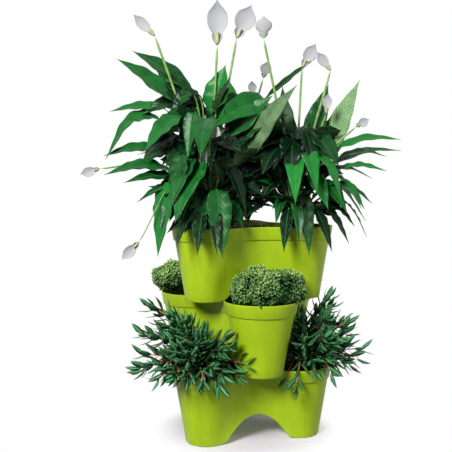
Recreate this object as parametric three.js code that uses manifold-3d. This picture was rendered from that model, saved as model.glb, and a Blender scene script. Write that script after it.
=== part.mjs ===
// Planter tower: three equal three-lobed pots stacked a sixth of a turn apart, each filled with
// compost and planted in every lobe. Peace lilies grow in the top pot, low stonecrop cushions in
// the middle one and leafy shrubs in the bottom one.
// Millimetres, +Z up, origin on the floor on the tower's axis, -Y towards the front middle lobe.
import * as THREE from "three";
import { mergeVertices } from "three/addons/utils/BufferGeometryUtils.js";
import Module from "manifold-3d";

const wasm = await Module();
wasm.setup();

// Pot
const potHeight = 158;
const lobeRadius = 77;
const lobeDistance = 116;
const footRadius = 44.5;
const footDistance = 123;
const webDistance = 98;
const webFootDistance = 92;
const potWall = 2.6;
const footEdge = 3;
const archHeight = 60;
const archHalfWidth = 75;

// Rim band
const bandHeight = 28;
const bandStep = 3;
const lipEdge = 1;

// Stacking: the foot has a groove that takes the rim of the pot below
const nestDepth = 3.5;
const seatGap = 0.3;
const grooveClearance = 0.8;

// Drain holes in each foot
const drainRadius = 4;
const drainSpacing = 26;

// Compost
const compostDrop = 14;

// Clearances and overruns
const fit = 0.3;
const leafClearance = 1.5;
const overrun = 5;

// Peace lily
const lilyDistance = 112;
const lilyHeight = 400;
const lilyReach = 240;
const lilyLeafWidth = 60;
const lilyLeafThickness = 1.6;
const petioleRadius = 2;
const lilyCrownRadius = 14;
const lilyCrownHeight = 22;

// Peace lily flower
const spatheLength = 84;
const spatheWidth = 46;
const spatheThickness = 1.6;
const spadixLength = 36;
const spadixRadius = 3.6;
const stalkRadius = 1.8;

// Stonecrop cushion
const cushionDistance = 146;
const cushionWidth = 186;
const cushionDepth = 130;
const cushionHeight = 96;
const cushionBump = 5;

// Shrub
const shrubDistance = 142;
const shootReach = 130;
const shootHeight = 122;
const shootRadius = 1.6;
const shrubLeafLength = 40;
const shrubLeafWidth = 13;
const shrubLeafThickness = 2;
const shrubCrownRadius = 16;
const shrubCrownHeight = 20;

// Counts
const lobeCount = 3;
const lobeSteps = 8;
const webSteps = 4;
const archSteps = 8;
const drainSides = 6;
const bladeSteps = 4;
const cushionRings = 7;
const cushionSides = 16;
const leafPairs = 2;

const turn = 2 * Math.PI;
const sixthTurn = turn / 6;
const tierPitch = potHeight - nestDepth;
const compostLevel = potHeight - compostDrop;
const rad = THREE.MathUtils.degToRad;
const up = new THREE.Vector3(0, 0, 1);
const outwards = (azimuth) => new THREE.Vector3(Math.cos(azimuth), Math.sin(azimuth), 0);

// Azimuths of the lobes: the bottom and top pots have one at the back, the middle pot one in front.
const [bottomTier, middleTier, topTier] = [0, 1, 2];
const tierTurn = (tier) => (tier === middleTier ? sixthTurn : 0);
const lobeAzimuth = (tier, lobe) => turn / 4 + tierTurn(tier) + (turn * lobe) / lobeCount;

const lime = new THREE.MeshStandardMaterial({ color: 0xa4c62c, roughness: 0.42, metalness: 0 });
const soil = new THREE.MeshStandardMaterial({ color: 0x2a1c16, roughness: 0.95, metalness: 0 });
const lilyGreen = new THREE.MeshStandardMaterial({ color: 0x1f6b2e, roughness: 0.4, metalness: 0 });
const petalWhite = new THREE.MeshStandardMaterial({ color: 0xe9e9ee, roughness: 0.6, metalness: 0 });
const paleGreen = new THREE.MeshStandardMaterial({ color: 0x8fbf6a, roughness: 0.7, metalness: 0 });
const shrubGreen = new THREE.MeshStandardMaterial({ color: 0x2c5a37, roughness: 0.4, metalness: 0 });

function toSolid(geometry) {
  const bare = new THREE.BufferGeometry();
  bare.setAttribute("position", geometry.getAttribute("position"));
  if (geometry.index) bare.setIndex(geometry.index);
  const merged = mergeVertices(bare);
  return new wasm.Manifold(
    new wasm.Mesh({
      numProp: 3,
      vertProperties: merged.attributes.position.array,
      triVerts: new Uint32Array(merged.index.array),
    }),
  );
}

function toGeometry(solid) {
  const mesh = solid.getMesh();
  const geometry = new THREE.BufferGeometry();
  geometry.setAttribute("position", new THREE.BufferAttribute(mesh.vertProperties, mesh.numProp));
  geometry.setIndex(new THREE.BufferAttribute(mesh.triVerts, 1));
  return geometry;
}

const joined = (solids) => solids.reduce((whole, solid) => whole.add(solid));

// The body of a solid that has the greatest volume, without the crumbs that a cut leaves.
const mainBody = (solid) =>
  solid.decompose().reduce((most, body) => (body.volume() > most.volume() ? body : most));

const turned = (solid, azimuth) => solid.rotate([0, 0, THREE.MathUtils.radToDeg(azimuth)]);

// Closed skin over rings that hold the same number of points each. The end rings are convex, or
// flat outlines in X and Y when flatEnds is set.
function loft(rings, flatEnds = false) {
  const count = rings[0].length;
  const positions = rings.flat().flatMap((p) => [p.x, p.y, p.z]);
  const top = (rings.length - 1) * count;
  const faces = [];
  for (let r = 0; r + 1 < rings.length; r++)
    for (let i = 0; i < count; i++) {
      const a = r * count + i;
      const b = r * count + ((i + 1) % count);
      faces.push(a, b, b + count, a, b + count, a + count);
    }
  const fan = (i) => [0, i, i + 1];
  const ends = flatEnds
    ? THREE.ShapeUtils.triangulateShape(rings[0].map((p) => new THREE.Vector2(p.x, p.y)), [])
    : Array.from({ length: count - 2 }, (_, i) => fan(i + 1));
  for (const [a, b, c] of ends) faces.push(a, c, b, top + a, top + b, top + c);
  const geometry = new THREE.BufferGeometry();
  geometry.setAttribute("position", new THREE.Float32BufferAttribute(positions, 3));
  geometry.setIndex(faces);
  return toSolid(geometry);
}

// A pot size at height z, between its value at the foot and its value at the rim.
const alongWall = (foot, rim, z) => foot + ((rim - foot) * z) / potHeight;

// Outline of the pot at height z: three round lobes joined by webs that curve inwards and meet the
// lobes without a corner. grow moves the whole outline outwards. level is where the outline lies.
function trefoil(z, grow, level = z) {
  const radius = alongWall(footRadius, lobeRadius, z);
  const distance = alongWall(footDistance, lobeDistance, z);
  const web = alongWall(webFootDistance, webDistance, z);
  const forward = distance * Math.cos(sixthTurn);
  const sideways = distance * Math.sin(sixthTurn);
  const gap = web - forward;
  const webRadius = (gap * gap + sideways * sideways - radius * radius) / (2 * (radius - gap));
  const webCentre = web + webRadius;
  const lobeHalf = Math.atan2(webCentre * Math.sin(sixthTurn), webCentre * Math.cos(sixthTurn) - distance);
  const webHalf = Math.atan2(sideways, webCentre - forward);
  const arc = (centre, centreAzimuth, size, angle) =>
    outwards(centreAzimuth).multiplyScalar(centre).addScaledVector(outwards(angle), size).setZ(level);
  const points = [];
  for (let lobe = 0; lobe < lobeCount; lobe++) {
    const along = lobeAzimuth(bottomTier, lobe);
    for (let i = 0; i < lobeSteps; i++)
      points.push(arc(distance, along, radius + grow, along + lobeHalf * ((2 * i) / lobeSteps - 1)));
    const across = along + sixthTurn;
    for (let i = 0; i < webSteps; i++) {
      const angle = across + turn / 2 + webHalf * (1 - (2 * i) / webSteps);
      points.push(arc(webCentre, across, webRadius - grow, angle));
    }
  }
  return points;
}

// Three arched tunnels under the webs, which leave the three feet standing.
function arches(grow) {
  const halfWidth = archHalfWidth + grow;
  const profile = [new THREE.Vector2(-halfWidth, -overrun)];
  for (let i = 0; i <= archSteps; i++) {
    const share = (2 * i) / archSteps - 1;
    profile.push(new THREE.Vector2(share * halfWidth, (archHeight + grow) * (1 - share * share)));
  }
  profile.push(new THREE.Vector2(halfWidth, -overrun));
  const depth = lobeDistance + lobeRadius + overrun;
  const tunnel = new THREE.ExtrudeGeometry(new THREE.Shape(profile), { depth, bevelEnabled: false });
  tunnel.rotateX(turn / 4);
  const solid = toSolid(tunnel);
  return joined(Array.from({ length: lobeCount }, (_, i) => turned(solid, (turn * i) / lobeCount)));
}

// The pot's body below its outer skin. A negative grow gives the space inside its wall.
function potBlock(grow) {
  const floor = -grow;
  const sole = trefoil(0, grow - footEdge, floor);
  const aboveEdge = trefoil(footEdge, grow, floor + footEdge);
  return loft([sole, aboveEdge, trefoil(potHeight, grow)], true).subtract(arches(-grow));
}

// The rim band, which steps out from the wall, filled to the axis.
function bandBlock(grow, bottom, top) {
  const step = bandStep + grow;
  const lip = [trefoil(top - lipEdge, step), trefoil(top, step - lipEdge)];
  return loft([trefoil(bottom, step), ...lip], true);
}

// The line that the rim of the pot below takes, one sixth of a turn round, grown on both faces.
function rimTrack(grow, bottom, top) {
  const outer = bandStep + grow;
  const inner = bandStep - potWall - grow;
  const nested = potHeight - nestDepth;
  const filled = loft([trefoil(potHeight, outer, bottom), trefoil(potHeight, outer, top)], true);
  const core = loft([trefoil(nested, inner, bottom - overrun), trefoil(nested, inner, top + overrun)], true);
  return turned(filled.subtract(core), sixthTurn);
}

// The space inside the pot, less a gap all round.
function hollow(gap) {
  const inset = potWall + gap;
  const bandFloor = potHeight - bandHeight + inset;
  const grooveWall = rimTrack(grooveClearance + inset, -overrun, nestDepth + seatGap + inset);
  const open = potHeight + overrun;
  const rim = loft([trefoil(bandFloor, bandStep - inset), trefoil(potHeight, bandStep - inset, open)], true);
  return potBlock(-inset).subtract(grooveWall).add(rim);
}

// One moulded pot, standing on its three feet.
function potSolid() {
  const filled = potBlock(0).add(bandBlock(0, potHeight - bandHeight, potHeight));
  const groove = rimTrack(grooveClearance, -overrun, nestDepth + seatGap);
  const drill = new THREE.CylinderGeometry(drainRadius, drainRadius, 2 * overrun, drainSides);
  drill.rotateX(turn / 4);
  const holes = [];
  for (let lobe = 0; lobe < lobeCount; lobe++)
    for (const side of [-1, 0, 1]) {
      const hole = drill.clone();
      hole.translate(footDistance + (drainSpacing / 2) * (1 - side * side), side * drainSpacing, 0);
      hole.rotateZ(lobeAzimuth(bottomTier, lobe));
      holes.push(toSolid(hole));
    }
  return filled.subtract(hollow(0)).subtract(groove).subtract(joined(holes));
}

// Compost that fills the pot to a level below its rim.
function compostSolid() {
  const above = [compostLevel, potHeight + 2 * overrun].map((level) => trefoil(potHeight, bandStep, level));
  return hollow(fit).subtract(loft(above, true));
}

// The room that a pot takes, for foliage beside it. own leaves its inside free above the compost.
const beside = potBlock(leafClearance).add(
  bandBlock(leafClearance, potHeight - bandHeight - leafClearance, potHeight + leafClearance),
);
const mouth = bandStep - potWall - leafClearance;
const overCompost = [
  trefoil(compostLevel, mouth, compostLevel + fit),
  trefoil(potHeight, mouth, potHeight + 2 * overrun),
];
const own = beside.subtract(loft(overCompost, true));
const onTier = (solid, tier) => turned(solid, tierTurn(tier)).translate([0, 0, tier * tierPitch]);

// Half width of a lily leaf along its blade, as a share of its greatest.
const bladeShare = (t) => Math.sin(Math.PI * Math.pow(t, 0.75)) * (1 - 0.2 * t);

// Four-cornered loft along a path. At each station t, sizeAt gives half the width, half the
// thickness and how far the edges rise above the middle, and twistAt the turn of its face.
function ribbon(path, side, stations, sizeAt, twistAt, grow) {
  const rings = stations.map((t) => {
    const [half, thick, rise] = sizeAt(t);
    const along = path.getTangent(t);
    const flat = side.clone().applyAxisAngle(along, twistAt(t));
    const face = new THREE.Vector3().crossVectors(flat, along);
    const corner = (across, above) =>
      path.getPoint(t).addScaledVector(flat, across).addScaledVector(face, above);
    const [wide, deep] = [half + grow, thick + grow];
    return [corner(wide, rise), corner(0, -deep), corner(-wide, rise), corner(0, deep)];
  });
  return loft(rings);
}

// A lily leaf: its stalk bends in the upright plane at azimuth to the neck, where the blade starts,
// and the blade arches on to the tip. roll turns the blade's face about its own length.
function lilyLeaf([azimuth, neckReach, neckHeight, tipReach, tipHeight, width, arch, roll], grow) {
  const out = outwards(rad(azimuth));
  const at = (reach, height) => out.clone().multiplyScalar(reach * lilyReach).setZ(height * lilyHeight);
  const neck = at(neckReach, neckHeight);
  const tip = at(tipReach, tipHeight);
  const crest = neck.clone().lerp(tip, 0.5).addScaledVector(up, arch * neck.distanceTo(tip));
  const bend = at(0.4 * neckReach, 0.6 * neckHeight);
  const path = new THREE.CatmullRomCurve3([at(0, 0), bend, neck, crest, tip]);
  const neckShare = 0.5;
  const stations = [0, 0.5 * neckShare, 0.96 * neckShare];
  for (let i = 0; i < bladeSteps; i++)
    stations.push(neckShare + ((1 - neckShare) * (i + 0.6)) / bladeSteps);
  stations.push(1);
  const bladeAt = (t) => Math.max(0, (t - neckShare) / (1 - neckShare));
  const sizeAt = (t) => {
    if (t <= neckShare) return [petioleRadius, petioleRadius, 0];
    const half = Math.max(petioleRadius / 2, (width * lilyLeafWidth * bladeShare(bladeAt(t))) / 2);
    return [half, lilyLeafThickness / 2, 0.2 * half];
  };
  const twistAt = (t) => rad(roll) * Math.min(1, 3 * bladeAt(t));
  return ribbon(path, new THREE.Vector3().crossVectors(out, up), stations, sizeAt, twistAt, grow);
}

// Where a flower head starts, and the stalk that carries it up from the crown.
function flowerBase([azimuth, reach, height]) {
  return outwards(rad(azimuth)).multiplyScalar(reach * lilyReach).setZ(height * lilyHeight);
}
function flowerStalk(flower, grow) {
  const base = flowerBase(flower);
  const middle = base.clone().multiply(new THREE.Vector3(0.45, 0.45, 0.5));
  middle.z += flower[3] * lilyHeight;
  const path = new THREE.CatmullRomCurve3([new THREE.Vector3(), middle, base]);
  const side = new THREE.Vector3().crossVectors(outwards(rad(flower[0])), up);
  const sizeAt = () => [stalkRadius, stalkRadius, 0];
  return ribbon(path, side, [0, 0.25, 0.5, 0.75, 1], sizeAt, () => 0, grow);
}

// Half width of the spathe along its length, as a share of its greatest.
const spatheShare = (t) => Math.pow(Math.sin(Math.PI * Math.pow(t, 0.85)), 0.8) * (1 - 0.25 * t);

// A flower head: the white spathe behind its spadix. lean tips it from upright towards the right
// of someone in front of the tower, and spin turns it about its own length.
function flowerHead(flower, grow) {
  const [, , , , lean, spin, length, width] = flower;
  const right = outwards(rad(-15));
  const along = up.clone().applyAxisAngle(new THREE.Vector3().crossVectors(up, right), rad(lean));
  const front = new THREE.Vector3().crossVectors(right, up).applyAxisAngle(along, rad(spin));
  const side = new THREE.Vector3().crossVectors(along, front);
  const place = (onwards, forwards) =>
    flowerBase(flower).addScaledVector(along, onwards * length).addScaledVector(front, forwards * length);
  const hood = spadixRadius * 2;
  const path = new THREE.CatmullRomCurve3([
    place(0, 0),
    place(spatheLength * 0.35, -hood),
    place(spatheLength * 0.75, -hood),
    place(spatheLength, 0),
  ]);
  const sizeAt = (t) => {
    const half = Math.max(spatheThickness, (spatheWidth * width * spatheShare(t)) / 2);
    return [half, spatheThickness / 2, 0.3 * half];
  };
  const spathe = ribbon(path, side, [0, 0.15, 0.35, 0.6, 0.82, 1], sizeAt, () => 0, grow);
  const spike = new THREE.LineCurve3(place(-spatheThickness, 0), place(spadixLength, spadixRadius));
  const spikeAt = (t) => {
    const radius = t === 0 ? spatheThickness : spadixRadius * length * (t < 1 ? 1 : 0.5);
    return [radius, radius, 0];
  };
  return spathe.add(ribbon(spike, side, [0, 0.3, 0.8, 1], spikeAt, () => 0, grow));
}

// Leaves of the three lilies: azimuth of the leaf in degrees, then the reach and height of its neck
// and of its tip, its width and its arch as shares, then its roll in degrees.
const leftLeafShares = [
  [175, 0.27, 0.67, 0.81, 0.88, 0.75, 0.05, -55],
  [150, 0.17, 0.7, 0.72, 0.96, 0.5, 0.06, -30],
  [160, 0.38, 0.64, 0.86, 0.62, 0.45, 0.06, -20],
  [170, 0.5, 0.54, 0.93, 0.37, 0.65, 0.35, -20],
  [200, 0.33, 0.6, 0.75, 0.41, 0.85, 0.12, -25],
  [262, 0.25, 0.59, 0.83, 0.36, 0.65, 0.15, 0],
  [163, 0.5, 0.42, 0.9, 0.38, 0.45, 0.06, -20],
  [185, 0.37, 0.31, 1.02, 0.27, 0.6, 0.08, -30],
  [192, 0.25, 0.22, 0.69, 0.14, 0.45, 0.15, -20],
  [203, 0.42, 0.26, 0.58, -0.12, 0.75, 0.1, 0],
  [240, 0.17, 0.32, 0.62, 0.06, 0.85, 0.15, 0],
  [222, 0.25, 0.38, 0.6, 0.12, 0.8, 0.12, 0],
  [268, 0.28, 0.18, 0.47, -0.1, 0.6, 0.1, 0],
  [330, 0.26, 0.3, 0.79, 0.7, 0.9, 0.08, 50],
  [345, 0.12, 0.54, 0.6, 0.65, 1, 0.15, 45],
  [300, 0.08, 0.62, 0.25, 0.87, 0.8, 0.05, 20],
];
const rightLeafShares = [
  [350, 0.21, 0.32, 0.59, 0.78, 1.25, 0.05, 60],
  [20, 0.1, 0.36, 0.38, 0.72, 0.9, 0.05, 40],
  [335, 0.37, 0.42, 0.95, 0.49, 0.45, 0.12, 20],
  [2, 0.33, 0.33, 1.1, 0.44, 0.45, 0.1, 30],
  [320, 0.33, 0.3, 0.85, 0.32, 0.5, 0.12, 10],
  [345, 0.33, 0.2, 0.8, 0.12, 0.75, 0.2, 20],
  [298, 0.38, 0.2, 0.6, -0.06, 0.4, 0.2, 0],
  [333, 0.42, 0.16, 0.72, -0.08, 0.4, 0.15, 0],
  [275, 0.3, 0.2, 0.48, -0.13, 0.6, 0.1, 0],
  [198, 0.12, 0.2, 0.42, 0.27, 0.5, 0.08, -40],
  [228, 0.2, 0.18, 0.45, 0.04, 0.5, 0.2, 0],
  [172, 0.1, 0.3, 0.32, 0.58, 1, 0.05, -60],
  [60, 0.2, 0.45, 0.6, 0.55, 0.8, 0.1, 0],
];
const backLeafShares = [
  [0, 0.33, 0.76, 0.85, 0.97, 0.45, 0.05, 30],
  [25, 0.3, 0.4, 1, 0.42, 0.8, 0.15, 0],
  [60, 0.3, 0.5, 0.66, 0.5, 0.9, 0.15, 0],
  [95, 0.35, 0.3, 0.58, 0.12, 0.8, 0.15, 0],
  [130, 0.3, 0.5, 0.66, 0.48, 0.9, 0.15, 0],
  [160, 0.3, 0.4, 0.95, 0.42, 0.8, 0.12, 0],
  [78, 0.1, 0.6, 0.35, 0.88, 0.8, 0.05, 0],
  [118, 0.1, 0.66, 0.4, 0.8, 0.8, 0.05, 0],
  [205, 0.1, 0.5, 0.35, 0.72, 0.8, 0.05, -30],
  [330, 0.1, 0.55, 0.4, 0.72, 0.8, 0.05, 30],
];

// Flowers: azimuth of the stalk in degrees, then the reach and height of the flower's base and how
// far the stalk bows up as shares, then lean and spin in degrees, then length and width as shares.
const leftFlowerShares = [
  [172, 0.48, 1.025, 0.05, -45, 0, 0.75, 0.5],
  [335, 0.07, 0.98, 0.03, 0, 0, 1.15, 1],
  [350, 0.24, 1.02, 0.05, 24, 0, 0.92, 1],
  [178, 0.97, 0.33, 0.18, -105, 0, 0.5, 0.45],
  [200, 0.72, -0.04, 0.3, -135, 0, 0.6, 0.5],
  [256, 0.5, 0.48, 0.15, 40, 0, 0.33, 0.5],
];
const rightFlowerShares = [
  [200, 0.37, 1.02, 0.05, 0, 180, 0.55, 0.8],
  [10, 0.07, 0.89, 0.03, 31, 0, 0.7, 0.65],
  [352, 0.33, 0.87, 0.05, -36, 0, 0.6, 0.5],
  [318, 0.3, 0.63, 0.05, 5, 0, 0.5, 0.45],
  [340, 0.55, 0.56, 0.1, 60, 0, 0.4, 0.45],
];
const backFlowerShares = [
  [345, 0.31, 0.87, 0.05, 15, 0, 0.47, 0.6],
  [325, 0.22, 0.76, 0.03, -5, 0, 0.42, 0.45],
];

const crownAt = (azimuth, distance, tier) =>
  outwards(azimuth).multiplyScalar(distance).setZ(tier * tierPitch + compostLevel + fit);

// A lily without its flower heads. grow thickens it, to keep its neighbours off it.
function lily(leafShares, flowerShares, place, grow) {
  const crown = new THREE.ConeGeometry(lilyCrownRadius + grow, lilyCrownHeight, 8);
  crown.rotateX(turn / 4);
  crown.translate(0, 0, lilyCrownHeight / 2);
  const start = lilyCrownHeight / 4;
  const leaves = leafShares.map((leaf) => lilyLeaf(leaf, grow));
  const stalks = flowerShares.map((flower) => flowerStalk(flower, grow));
  const growth = joined([...leaves, ...stalks]).translate([0, 0, start]);
  return growth.add(toSolid(crown)).translate(place.toArray());
}
function lilyFlowerHead(flower, place, grow) {
  return flowerHead(flower, grow).translate([place.x, place.y, place.z + lilyCrownHeight / 4]);
}

// A low cushion of foliage: a bumpy dome that stands on the compost and swells over the rim.
const cushionFoot = -0.95;
const cushionTop = 1.35;
function cushion(azimuth) {
  const rings = [];
  for (let r = 0; r <= cushionRings; r++) {
    const latitude = cushionFoot + ((cushionTop - cushionFoot) * r) / cushionRings;
    const sole = Math.sin(cushionFoot);
    const level = (Math.sin(latitude) - sole) / (Math.sin(cushionTop) - sole);
    const ring = [];
    for (let i = 0; i < cushionSides; i++) {
      const angle = (turn * i) / cushionSides;
      const swell = cushionBump * Math.sin(5 * angle + 2 * r + azimuth) * Math.cos(3 * angle - r);
      const along = (cushionDepth / 2 + swell) * Math.cos(latitude) * Math.cos(angle);
      const across = (cushionWidth / 2 + swell) * Math.cos(latitude) * Math.sin(angle);
      const height = cushionHeight * level + (r > 0 ? swell * Math.sin(latitude) : 0);
      ring.push(new THREE.Vector3(along, across, height));
    }
    rings.push(ring);
  }
  return turned(loft(rings), azimuth);
}

// Shoots of a shrub: azimuth in degrees from the lobe's own, then reach and height as shares.
const shootShares = [
  [0, 0.48, 0.65],
  [-42, 0.88, 0.8],
  [42, 0.85, 0.85],
  [-85, 1, 0.7],
  [85, 1, 0.72],
  [-15, 0.4, 1],
];

// A narrow leaf from start along a direction, flattened across the face.
function shrubLeaf(start, along, face) {
  const leaf = new THREE.OctahedronGeometry(1);
  leaf.scale(shrubLeafLength / 2, shrubLeafWidth / 2, shrubLeafThickness / 2);
  leaf.translate(shrubLeafLength / 2 - shootRadius, 0, 0);
  const across = new THREE.Vector3().crossVectors(face, along).normalize();
  const square = new THREE.Vector3().crossVectors(along, across);
  leaf.applyMatrix4(new THREE.Matrix4().makeBasis(along, across, square));
  leaf.translate(start.x, start.y, start.z);
  return toSolid(leaf);
}

// A shoot: an arching stem with pairs of leaves, each pair square to the one before.
function shoot([azimuth, reachShare, heightShare], lobe) {
  const out = outwards(lobe + rad(azimuth));
  const at = (reach, height) =>
    out.clone().multiplyScalar(reach * reachShare * shootReach).setZ(height * heightShare * shootHeight);
  const path = new THREE.CatmullRomCurve3([at(0, 0), at(0.4, 0.7), at(1, 1)]);
  const side = new THREE.Vector3().crossVectors(out, up);
  const sizeAt = () => [shootRadius, shootRadius, 0];
  const pieces = [ribbon(path, side, [0, 0.5, 1], sizeAt, () => 0, 0)];
  for (let pair = 0; pair < leafPairs; pair++) {
    const t = 0.4 + (0.6 * pair) / leafPairs;
    const along = path.getTangent(t);
    const spread = side.clone().applyAxisAngle(along, (pair * turn) / 4);
    for (const way of [-1, 1]) {
      const leafAlong = along.clone().multiplyScalar(0.6).addScaledVector(spread, way).normalize();
      pieces.push(shrubLeaf(path.getPoint(t), leafAlong, along));
    }
  }
  const tip = path.getTangent(1);
  pieces.push(shrubLeaf(path.getPoint(1), tip, new THREE.Vector3().crossVectors(side, tip)));
  return joined(pieces);
}
function shrub(lobe) {
  const crown = new THREE.ConeGeometry(shrubCrownRadius, shrubCrownHeight, 8);
  crown.rotateX(turn / 4);
  crown.translate(0, 0, shrubCrownHeight / 2);
  const shoots = joined(shootShares.map((share) => shoot(share, lobe)));
  return shoots.translate([0, 0, shrubCrownHeight / 4]).add(toSolid(crown));
}

const pot = potSolid();
const compost = compostSolid();
const tower = new THREE.Group();
function addPiece(name, solid, material) {
  const mesh = new THREE.Mesh(toGeometry(solid), material);
  mesh.name = name;
  tower.add(mesh);
}
["bottom", "middle", "top"].forEach((name, tier) => {
  addPiece(name + "_pot", onTier(pot, tier), lime);
  addPiece(name + "_compost", onTier(compost, tier), soil);
});

// Peace lilies, one in each lobe of the top pot.
const lilies = [
  ["left", leftLeafShares, leftFlowerShares, lobeAzimuth(topTier, 1)],
  ["right", rightLeafShares, rightFlowerShares, lobeAzimuth(topTier, 2)],
  ["back", backLeafShares, backFlowerShares, lobeAzimuth(topTier, 0)],
];
const heads = [];
for (const [side, , flowers, azimuth] of lilies)
  flowers.forEach((flower, i) => {
    const place = crownAt(azimuth, lilyDistance, topTier);
    addPiece("peace_lily_" + side + "_flower_" + (i + 1), lilyFlowerHead(flower, place, 0), petalWhite);
    heads.push(lilyFlowerHead(flower, place, fit));
  });
let taken = joined(heads).add(onTier(own, topTier));
for (const [side, leaves, flowers, azimuth] of lilies) {
  const place = crownAt(azimuth, lilyDistance, topTier);
  addPiece("peace_lily_" + side, mainBody(lily(leaves, flowers, place, 0).subtract(taken)), lilyGreen);
  taken = taken.add(lily(leaves, flowers, place, fit));
}


// Stonecrop cushions, one in each lobe of the middle pot.
const besideCushion = onTier(own, middleTier).add(onTier(beside, topTier));
["left", "front", "right"].forEach((side, lobe) => {
  const azimuth = lobeAzimuth(middleTier, lobe);
  const dome = cushion(azimuth).translate(crownAt(azimuth, cushionDistance, middleTier).toArray());
  addPiece("stonecrop_" + side, mainBody(dome.subtract(besideCushion)), paleGreen);
});

// Shrubs, one in each lobe of the bottom pot.
const besideShrub = onTier(own, bottomTier).add(onTier(beside, middleTier));
["back", "left", "right"].forEach((side, lobe) => {
  const azimuth = lobeAzimuth(bottomTier, lobe);
  const bush = shrub(azimuth).translate(crownAt(azimuth, shrubDistance, bottomTier).toArray());
  addPiece("shrub_" + side, mainBody(bush.subtract(besideShrub)), shrubGreen);
});

export default tower;
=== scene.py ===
# %% [markdown]
# # A planter tower
# Three equal three-lobed pots stand on one another, each a sixth of a turn round from the one
# below. Peace lilies grow in the top pot, stonecrop cushions in the middle one and leafy shrubs
# in the bottom one.
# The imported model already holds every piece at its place, so this lesson only dresses it: each
# shape is a surface worked out as whole numpy arrays, and each finish is a small tree of nodes.

import bmesh
import bpy
import numpy as np
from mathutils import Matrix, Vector


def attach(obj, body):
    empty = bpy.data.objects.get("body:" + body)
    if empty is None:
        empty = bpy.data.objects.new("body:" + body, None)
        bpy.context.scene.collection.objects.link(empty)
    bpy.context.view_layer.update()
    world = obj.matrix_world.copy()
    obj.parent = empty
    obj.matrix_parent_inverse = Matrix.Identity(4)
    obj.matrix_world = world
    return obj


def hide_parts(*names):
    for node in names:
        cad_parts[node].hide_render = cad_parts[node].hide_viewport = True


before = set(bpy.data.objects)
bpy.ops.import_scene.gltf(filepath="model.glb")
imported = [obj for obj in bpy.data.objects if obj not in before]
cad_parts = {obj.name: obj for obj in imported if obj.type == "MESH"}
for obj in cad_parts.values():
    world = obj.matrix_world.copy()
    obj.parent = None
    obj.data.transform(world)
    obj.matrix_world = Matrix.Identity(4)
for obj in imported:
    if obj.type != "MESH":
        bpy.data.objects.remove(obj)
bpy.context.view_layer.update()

# %% [markdown]
# ## Sizes
# The pieces go round the solids of the model, so the sizes that shape those solids come first.
# They could be read back from each node's box, but a box says nothing of a lobe's radius or of
# the height of an arch, so the maker's own sizes are written here, in metres.

# %% Sizes of the pots and of their places
MM = 0.001
TURN = 2 * np.pi
SIXTH = TURN / 6
POT_HEIGHT = 158 * MM
FOOT_RADIUS, LOBE_RADIUS = 44.5 * MM, 77 * MM
FOOT_DISTANCE, LOBE_DISTANCE = 123 * MM, 116 * MM
FOOT_WEB, RIM_WEB = 92 * MM, 98 * MM
WALL = 2.6 * MM
FOOT_EDGE = 3 * MM
ARCH_HEIGHT, ARCH_HALF_WIDTH = 60 * MM, 75 * MM
BAND_HEIGHT, BAND_STEP = 28 * MM, 3 * MM
NEST = 3.5 * MM
TIER_PITCH = POT_HEIGHT - NEST
COMPOST_LEVEL = POT_HEIGHT - 14 * MM
FIT = 0.3 * MM
TIERS = ("bottom", "middle", "top")
FIRST_LOBE = TURN / 4


def tier_turn(tier):
    """The middle pot is turned a sixth round, the others are not."""
    return SIXTH if tier == 1 else 0.0


def outwards(azimuth):
    """Level unit vector at an azimuth in radians, measured from +X towards +Y."""
    return np.array([np.cos(azimuth), np.sin(azimuth), 0.0])


UP = np.array([0.0, 0.0, 1.0])
print("a tier rises", round(TIER_PITCH / MM, 1), "mm")

# %% [markdown]
# ## From arrays to meshes
# Blender can add vertices one at a time, which is slow and hides the shape in the bookkeeping. A
# grid of points needs no such care: its faces follow from its rows and columns alone. Three small
# helpers turn grids into faces, gather several grids into one piece, and tie the piece to the
# body that carries it.

# %% Helpers that make a piece
MERGE = 0.01 * MM
LOOSE = {"merge": 0}
NO_CREASE = 180


def grid_faces(rows, columns, closed=False, flip=False):
    """Four-sided faces of a grid: corner (r, c) joins (r, c+1), (r+1, c+1) and (r+1, c). A closed
    grid joins its last column to its first. flip turns the faces round."""
    r = np.arange(rows - 1)[:, None]
    c = np.arange(columns if closed else columns - 1)[None, :]
    right = (c + 1) % columns
    corners = [r * columns + c, r * columns + right, (r + 1) * columns + right, (r + 1) * columns + c]
    faces = np.stack(np.broadcast_arrays(*corners), axis=-1).reshape(-1, 4)
    return faces[:, ::-1] if flip else faces


class Shape:
    """Grids gathered for one piece: points, faces, two UV numbers a point and a tone a point."""

    def __init__(self):
        self.points, self.faces, self.uv, self.tone = [], [], [], []
        self.count = 0

    def add(self, points, faces, uv=None, tone=0.5):
        """Faces are numbered on from the points already gathered, and one tone is spread over all."""
        points = np.asarray(points, float).reshape(-1, 3)
        self.points.append(points)
        self.faces += (np.asarray(faces) + self.count).tolist()
        self.uv.append(np.zeros((len(points), 2)) if uv is None else np.asarray(uv).reshape(-1, 2))
        self.tone.append(np.broadcast_to(np.asarray(tone, float).reshape(-1), (len(points),)))
        self.count += len(points)


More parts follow.
